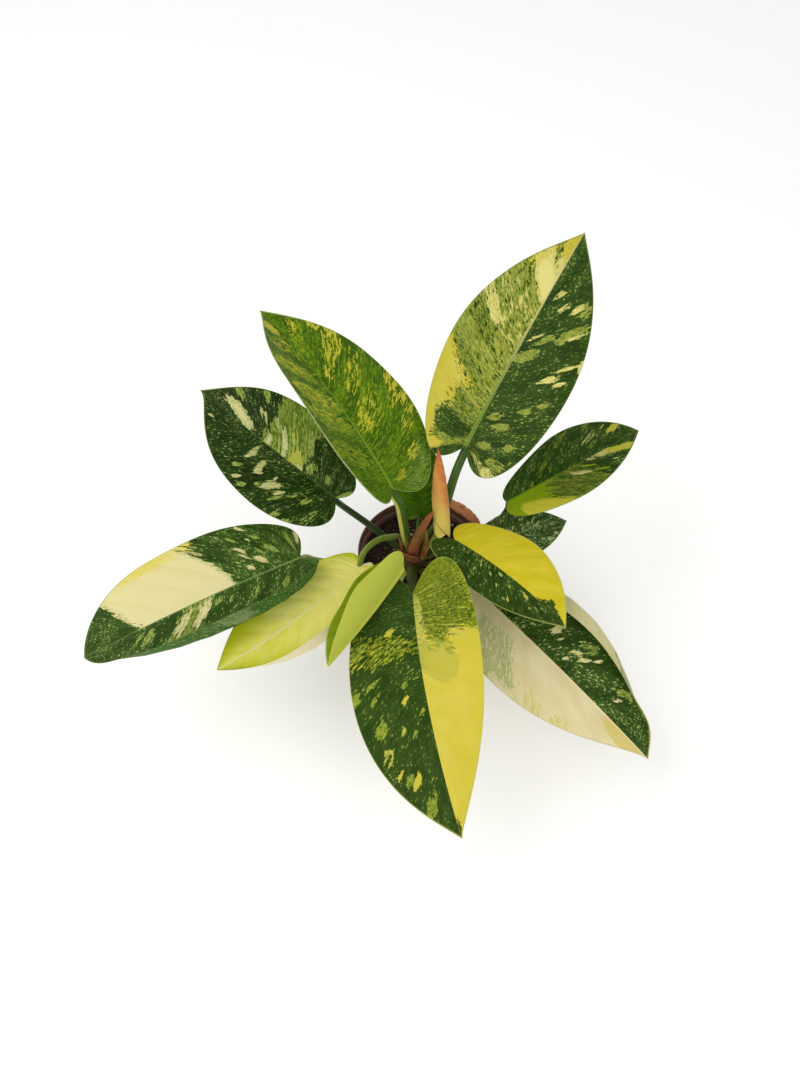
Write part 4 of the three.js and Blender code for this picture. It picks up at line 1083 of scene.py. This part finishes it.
def sheath_parts(base, middle, tip, radius, wrap, opening, seed):
    """A sheath: part of a tube round a bent line, its radius falling as a power of a cosine.

    Its skin ripples, and its side edges are ragged.
    """
    share = np.linspace(0, 1, 61)[:, None]
    u = np.linspace(0, 1, 25)[None]
    base, middle, tip, opening = (np.array(p, float) for p in (base, middle, tip, opening))
    centre = (1 - share) ** 2 * base + 2 * share * (1 - share) * middle + share**2 * tip
    forward = 2 * (1 - share) * (middle - base) + 2 * share * (tip - middle)
    forward /= np.linalg.norm(forward, axis=1)[:, None]
    back = opening - forward * (forward @ opening)[:, None]
    back /= np.linalg.norm(back, axis=1)[:, None]
    across = np.cross(forward, back)
    girth = radius * (0.12 + 0.88 * np.cos(np.pi * share / 2) ** 0.6)
    ragged = 1 + 0.06 * rolling(share * 30, 3 * np.sign(u - 0.5), 1.0, seed) * np.abs(2 * u - 1) ** 3
    angle = 2 * np.pi * wrap * (u - 0.5) * ragged
    outward = -back[:, None] * np.cos(angle)[..., None] + across[:, None] * np.sin(angle)[..., None]
    ripple = 0.18 * rolling(share * 14, angle * 3, 1.0, seed + 1) + 0.08 * np.sin(16 * angle)
    thin = SHEATH_HALF * (1 - 0.55 * share)
    outer, inner = (centre[:, None] + outward * (girth + t + ripple)[..., None] for t in (thin, -thin))
    return [slab(outer, inner)], sheet_fields(share, u)


RED_BROWN = sheath_finish("sheath_red_brown", (140, 76, 42), (116, 84, 42), (152, 86, 54))
GREEN_BROWN = sheath_finish("sheath_green_brown", (138, 74, 46), (132, 108, 50), (142, 142, 60))
DRIED = sheath_finish("sheath_dried", (180, 115, 73), (200, 133, 90), (186, 119, 79))
# Base, middle, tip, radius, share of a turn and the way it opens
SHEATHS = {
    "cataphyll_01": (
        [(-8, -16.5, 126.6), (-5.2, -16, 158), (8.5, -16.5, 191), 4.6, 0.55, (0.4, 1, 0.1)], RED_BROWN
    ),
    "cataphyll_02": (
        [(-15.6, -12.9, 120), (-18, -11.5, 132), (-20.4, -7.5, 140), 1.8, 0.4, (1, 0.6, 0.2)], RED_BROWN
    ),
    "cataphyll_04": (
        [(1.3, -17, 127), (6, -16.2, 142), (3.5, -10, 156), 3.4, 0.5, (0.8, 0.6, 0.1)], GREEN_BROWN
    ),
}
for number, (name, (shape, finish)) in enumerate(SHEATHS.items()):
    parts, fields = sheath_parts(*shape, seed=20 + 3 * number)
    put_mesh(name.replace("cataphyll", "sheath"), parts, finish, [name], fields)


def collar_parts():
    """The lowest sheath, a shell about the stem that flares out to a point on the left."""
    share = np.linspace(0, 1, 71)[:, None]
    u = np.linspace(0, 1, 15)[None]
    azimuth = np.radians(COLLAR_FROM + (COLLAR_TO - COLLAR_FROM) * share)
    shrink = np.maximum(0.08, 1 - share**3) * np.minimum(1, 0.3 + 4 * share)
    ragged = 0.5 * rolling(share * 26, 0, 1.0, 41) * u**2
    z = COLLAR_POINT + shrink * (COLLAR_LOW + COLLAR_TALL * u - COLLAR_POINT + ragged)
    radius = COLLAR_RADIUS + COLLAR_FLARE * share**5 + 0.9 * np.maximum(0, z - COLLAR_POINT) / 4
    radius = radius + 0.15 * rolling(share * 18, u * 3, 1.0, 42)
    inner, outer = (
        about(radius + t, azimuth, z, STEM_X, STEM_Y)[:, ::-1] for t in (-SHEATH_HALF, SHEATH_HALF)
    )
    return [slab(inner, outer)], sheet_fields(share, u)


def dried_parts():
    """The dried sheath on the rim: a cupped strip along the rim's curve, with puckered edges."""
    share = np.linspace(0, 1, 91)[:, None]
    u = np.linspace(-1, 1, 25)[None]
    angle = np.radians(DRIED_FROM + DRIED_SPAN * share)
    wide = DRIED_HALF * (0.45 + 0.55 * np.sin(np.pi * share) ** 0.6)
    wide = wide * (1 + 0.1 * rolling(share * 22, 0, 1.0, 51))
    pucker = 0.4 * rolling(share * 20, u * 2.5, 1.0, 52) + 0.35
    z = POT_HEIGHT + 0.7 + DRIED_SAG * (1 - u * u) + 0.4 * np.sin(9 * share) * u * u + pucker * u * u
    lower, upper = (about(DRIED_RADIUS + wide * u, angle, z + t)[:, ::-1] for t in (0, 2 * SHEATH_HALF))
    return [slab(lower, upper)], sheet_fields(share, u / 2 + 0.5)


for name, (parts, fields), finish in (("03", collar_parts(), RED_BROWN), ("05", dried_parts(), DRIED)):
    put_mesh("sheath_" + name, parts, finish, ["cataphyll_" + name], fields)


def stem_parts():
    """The stem: a turned column ringed by old leaf scars, roughened by small hills."""
    z = [[STEM_FOOT], np.linspace(STEM_FOOT, STEM_NECK, 90), np.linspace(STEM_NECK + 0.2, STEM_TOP, 8)]
    z = np.concatenate(z)[:, None]
    angle = whole_turn(72)
    scars = SCAR_DEPTH * np.cos(2 * np.pi * (z - SCAR_FIRST) / SCAR_PITCH)
    radius = STEM_RADIUS - np.where(z > STEM_NECK, 0.8 * (z - STEM_NECK), scars)
    radius = radius + 0.22 * rolling(angle * 9, z * 0.8, 1.0, 61)
    radius[0] = 0
    rings = about(radius, angle, z, STEM_X, STEM_Y)
    top = np.broadcast_to([STEM_X, STEM_Y, stem_high[2]], rings[:1].shape)
    return [ring_surface(np.concatenate([rings, top]))]


def stem_finish():
    """Dark bark with paler rings and specks."""
    m = Finish("stem_bark")
    x, y, z = m.position().parts()
    rings = m.noise(m.vector(x * 90, y * 90, z * 600), 1, 3)
    spots = m.noise(m.vector(x * 400, y * 400, z * 400), 1, 3)
    colour = m.mix(rings.over(0.4, 0.62), (0.035, 0.02, 0.012), (0.11, 0.06, 0.035))
    colour = m.mix(spots.over(0.55, 0.7) * 0.5, colour, (0.16, 0.12, 0.06))
    return m.close(colour, 0.7 + spots * 0.2, m.bump(rings + spots, 0.6, 0.0008))


put_mesh("stem_column", stem_parts(), stem_finish(), ["stem"])

# Pot and soil


def pot_profile():
    """The pot's wall as pairs of radius and height, with rounded corners at the rim and the foot."""
    bend = np.linspace(0, np.pi / 2, 6)
    foot = [(BASE_RADIUS - 1 + np.sin(t), 1 - np.cos(t)) for t in bend]
    wall = [(BASE_RADIUS + (NECK_RADIUS - BASE_RADIUS) * k / 8, 1 + (NECK_HEIGHT - 1) * k / 8)
            for k in range(1, 8)]
    step = [(NECK_RADIUS + NECK_STEP * (1 - np.cos(t)) + NECK_STEP * (t > 1.5), NECK_HEIGHT + np.sin(t))
            for t in bend]
    lip = [(RIM_RADIUS + LIP_WIDE * (np.cos(t) - 1), POT_HEIGHT + LIP_TALL * (np.sin(t) - 1)) for t in bend]
    bore = RIM_RADIUS - POT_WALL
    inner = [(bore + LIP_WIDE * (1 - np.sin(t)), POT_HEIGHT + LIP_WIDE * (np.cos(t) - 1)) for t in bend]
    inner += [(bore, NECK_HEIGHT + 1), (NECK_RADIUS - POT_WALL, NECK_HEIGHT)]
    edge = BASE_RADIUS - POT_WALL
    floor = [(edge, POT_FLOOR + 0.5), (edge - 0.8, POT_FLOOR), (0, POT_FLOOR)]
    return [(0, 0), *foot, *wall, *step, (RIM_RADIUS, NECK_HEIGHT + 1.4), *lip, *inner, *floor]


def pot_piece():
    """The pot turned from its profile, with the drainage holes cut through its floor."""
    finish = pot_finish()
    pot = put_mesh("pot_shell", [turned(pot_profile(), 144)], finish, ["pot"], crease=40)
    points, quads = turned([(0, -3), (HOLE_RADIUS, -3), (HOLE_RADIUS, 8), (0, 8)], 32)
    angles = whole_turn(HOLE_COUNT) + math.pi / HOLE_COUNT
    holes = [(points + place, quads) for place in about(HOLE_CIRCLE, angles, 0)]
    cutter = put_mesh("hole_cutter", holes, finish, ["pot"])
    cut = pot.modifiers.new("drainage", "BOOLEAN")
    cut.operation = "DIFFERENCE"
    cut.solver = "EXACT"
    cut.object = cutter
    whole = bpy.data.meshes.new_from_object(pot.evaluated_get(bpy.context.evaluated_depsgraph_get()))
    pot.modifiers.clear()
    pot.data = whole
    whole.set_sharp_from_angle(angle=math.radians(40))
    bpy.data.objects.remove(cutter)


def pot_finish():
    """Brown moulded plastic: fine turned lines, a patchy darker band below the rim, and a dusty bloom."""
    m = Finish("pot_plastic")
    x, y, z = m.position().parts()
    dust = m.noise(m.vector(x * 60, y * 60, z * 90), 1, 4, 0.6)
    lines = m.noise(m.vector(x * 12, y * 12, z * 1400), 1, 2)
    colour = m.mix(dust.over(0.4, 0.65), (0.172, 0.079, 0.057), (0.208, 0.1, 0.073))
    colour = m.mix(lines.over(0.5, 0.7) * 0.25, colour, (0.26, 0.14, 0.1))
    low, middle, high = ((POT_HEIGHT - down) * MM for down in (14, 8, 0.2))
    # Darker in patches in a band from 14 mm below the rim's top, darkest 8 mm down, fading out at the top
    darker_band = z.over(low, middle) * (1 - z.over(middle, high)) * dust.over(0.45, 0.6)
    colour = m.mix(darker_band * 0.5, colour, (0.05, 0.03, 0.02))
    return m.close(colour, 0.42 + dust * 0.2, m.bump(lines, 0.15, 0.0003), Specular_IOR_Level=0.5)


pot_piece()


def soil_height(x, y):
    """The soil's level: higher at the stem, with the same lumps as the solid and finer crumbs."""
    away = np.hypot(x - STEM_X, y - STEM_Y) / RIM_RADIUS
    lumps = np.sin(0.31 * x + 1.3) * np.cos(0.27 * y) + 0.6 * np.sin(0.62 * x - 0.5 * y)
    crumbs = ((0.55, 4.0, 71), (0.45, 1.9, 72), (0.3, 0.9, 73))
    crumbs = sum(size * rolling(x + 90, y + 90, net, seed) for size, net, seed in crumbs)
    return SOIL_LEVEL + SOIL_SLOPE * (1 - away) + 0.7 * lumps + crumbs


def soil_parts():
    """The soil: the pot's inside filled from the floor, closed by a crumbly top on a round net."""
    foot = BASE_RADIUS - POT_WALL - CLEARANCE
    radius = np.concatenate([[0, foot, SOIL_RADIUS], np.linspace(SOIL_RADIUS, 0, 56)])[:, None]
    angle = whole_turn(180)
    z = soil_height(radius * np.cos(angle), radius * np.sin(angle))
    z[:2] = POT_FLOOR + CLEARANCE
    z[2] = z[3] - 3
    return [ring_surface(about(radius, angle, z))]


def scattered_lumps(count, seed, scale, least, most, raised=0.0):
    """Many small rough lumps at random places on the soil, kept off the stem and the pot's wall.

    Each is a ball on a small net, stretched, dented and turned by random numbers.
    """
    rng = np.random.default_rng(seed)
    radius = LUMPS_WITHIN * np.sqrt(rng.uniform(0, 1, count))
    x, y, _ = about(radius, rng.uniform(0, 2 * np.pi, count), 0).T
    keep = np.hypot(x - STEM_X, y - STEM_Y) > LUMPS_BEYOND_STEM
    x, y = x[keep], y[keep]
    count = len(x)
    places = stacked(x, y, soil_height(x, y) + raised)
    sizes = rng.uniform(*scale, (count, 1)) * rng.uniform(least, most, (count, 3))
    turns = rng.uniform(0, 6.28, count)[:, None, None]
    rows, sides = 6, 8
    polar = np.linspace(0, np.pi, rows)[:, None]
    ball = about(np.sin(polar), whole_turn(sides), np.cos(polar))
    dents = 1 + 0.3 * np.random.default_rng(seed + 1).uniform(-1, 1, (count, rows, sides, 1))
    dents[:, 0] = dents[:, -1] = 0.8
    x, y, z = np.moveaxis(-ball * dents * sizes[:, None, None], -1, 0)
    cos, sin = np.cos(turns), np.sin(turns)
    points = stacked(x * cos - y * sin, x * sin + y * cos, z) + places[:, None, None]
    quads = grid_quads(rows, sides, ring=True) + rows * sides * np.arange(count)[:, None, None]
    return [(points.reshape(-1, 3), quads.reshape(-1, 4))]


def soil_finish(name, dark, light, scale):
    """A dull crumbly stuff, dark to light with a fine grain."""
    m = Finish(name)
    grain = m.noise(m.position(), scale, 4, 0.65)
    colour = m.mix(grain.over(0.4, 0.68), dark, light)
    return m.close(colour, 0.85 + grain * 0.1, m.bump(grain, 0.6, 0.0012), Specular_IOR_Level=0.2)


bark = scattered_lumps(760, 81, (0.5, 1), [1.2, 0.7, 0.4], [3.2, 1.7, 1.0])
perlite = scattered_lumps(70, 91, (0.6, 1.5), 0.75, 1, raised=0.3)
for name, parts, *finish, crease in (
    ("soil_bed", soil_parts(), "soil_mix", (0.012, 0.008, 0.006), (0.05, 0.032, 0.02), 500, 50),
    ("soil_bark", bark, "bark_bits", (0.03, 0.017, 0.011), (0.12, 0.07, 0.04), 260, 30),
    ("soil_perlite", perlite, "perlite_grains", (0.45, 0.43, 0.39), (0.75, 0.73, 0.69), 700, 30),
):
    put_mesh(name, parts, soil_finish(*finish), ["soil"], crease=crease)

# Floor


def floor_piece():
    """A flat pale floor, 12 m each way."""
    mesh = bpy.data.meshes.new("floor")
    mesh.from_pydata([(-6, -6, 0), (6, -6, 0), (6, 6, 0), (-6, 6, 0)], [], [(0, 1, 2, 3)])
    floor = bpy.data.objects.new("floor", mesh)
    bpy.context.collection.objects.link(floor)
    m = Finish("floor_pale")
    mesh.materials.append(m.close((0.93, 0.93, 0.93), 0.8, Emission_Color=(1, 1, 1), Emission_Strength=0.2))


floor_piece()
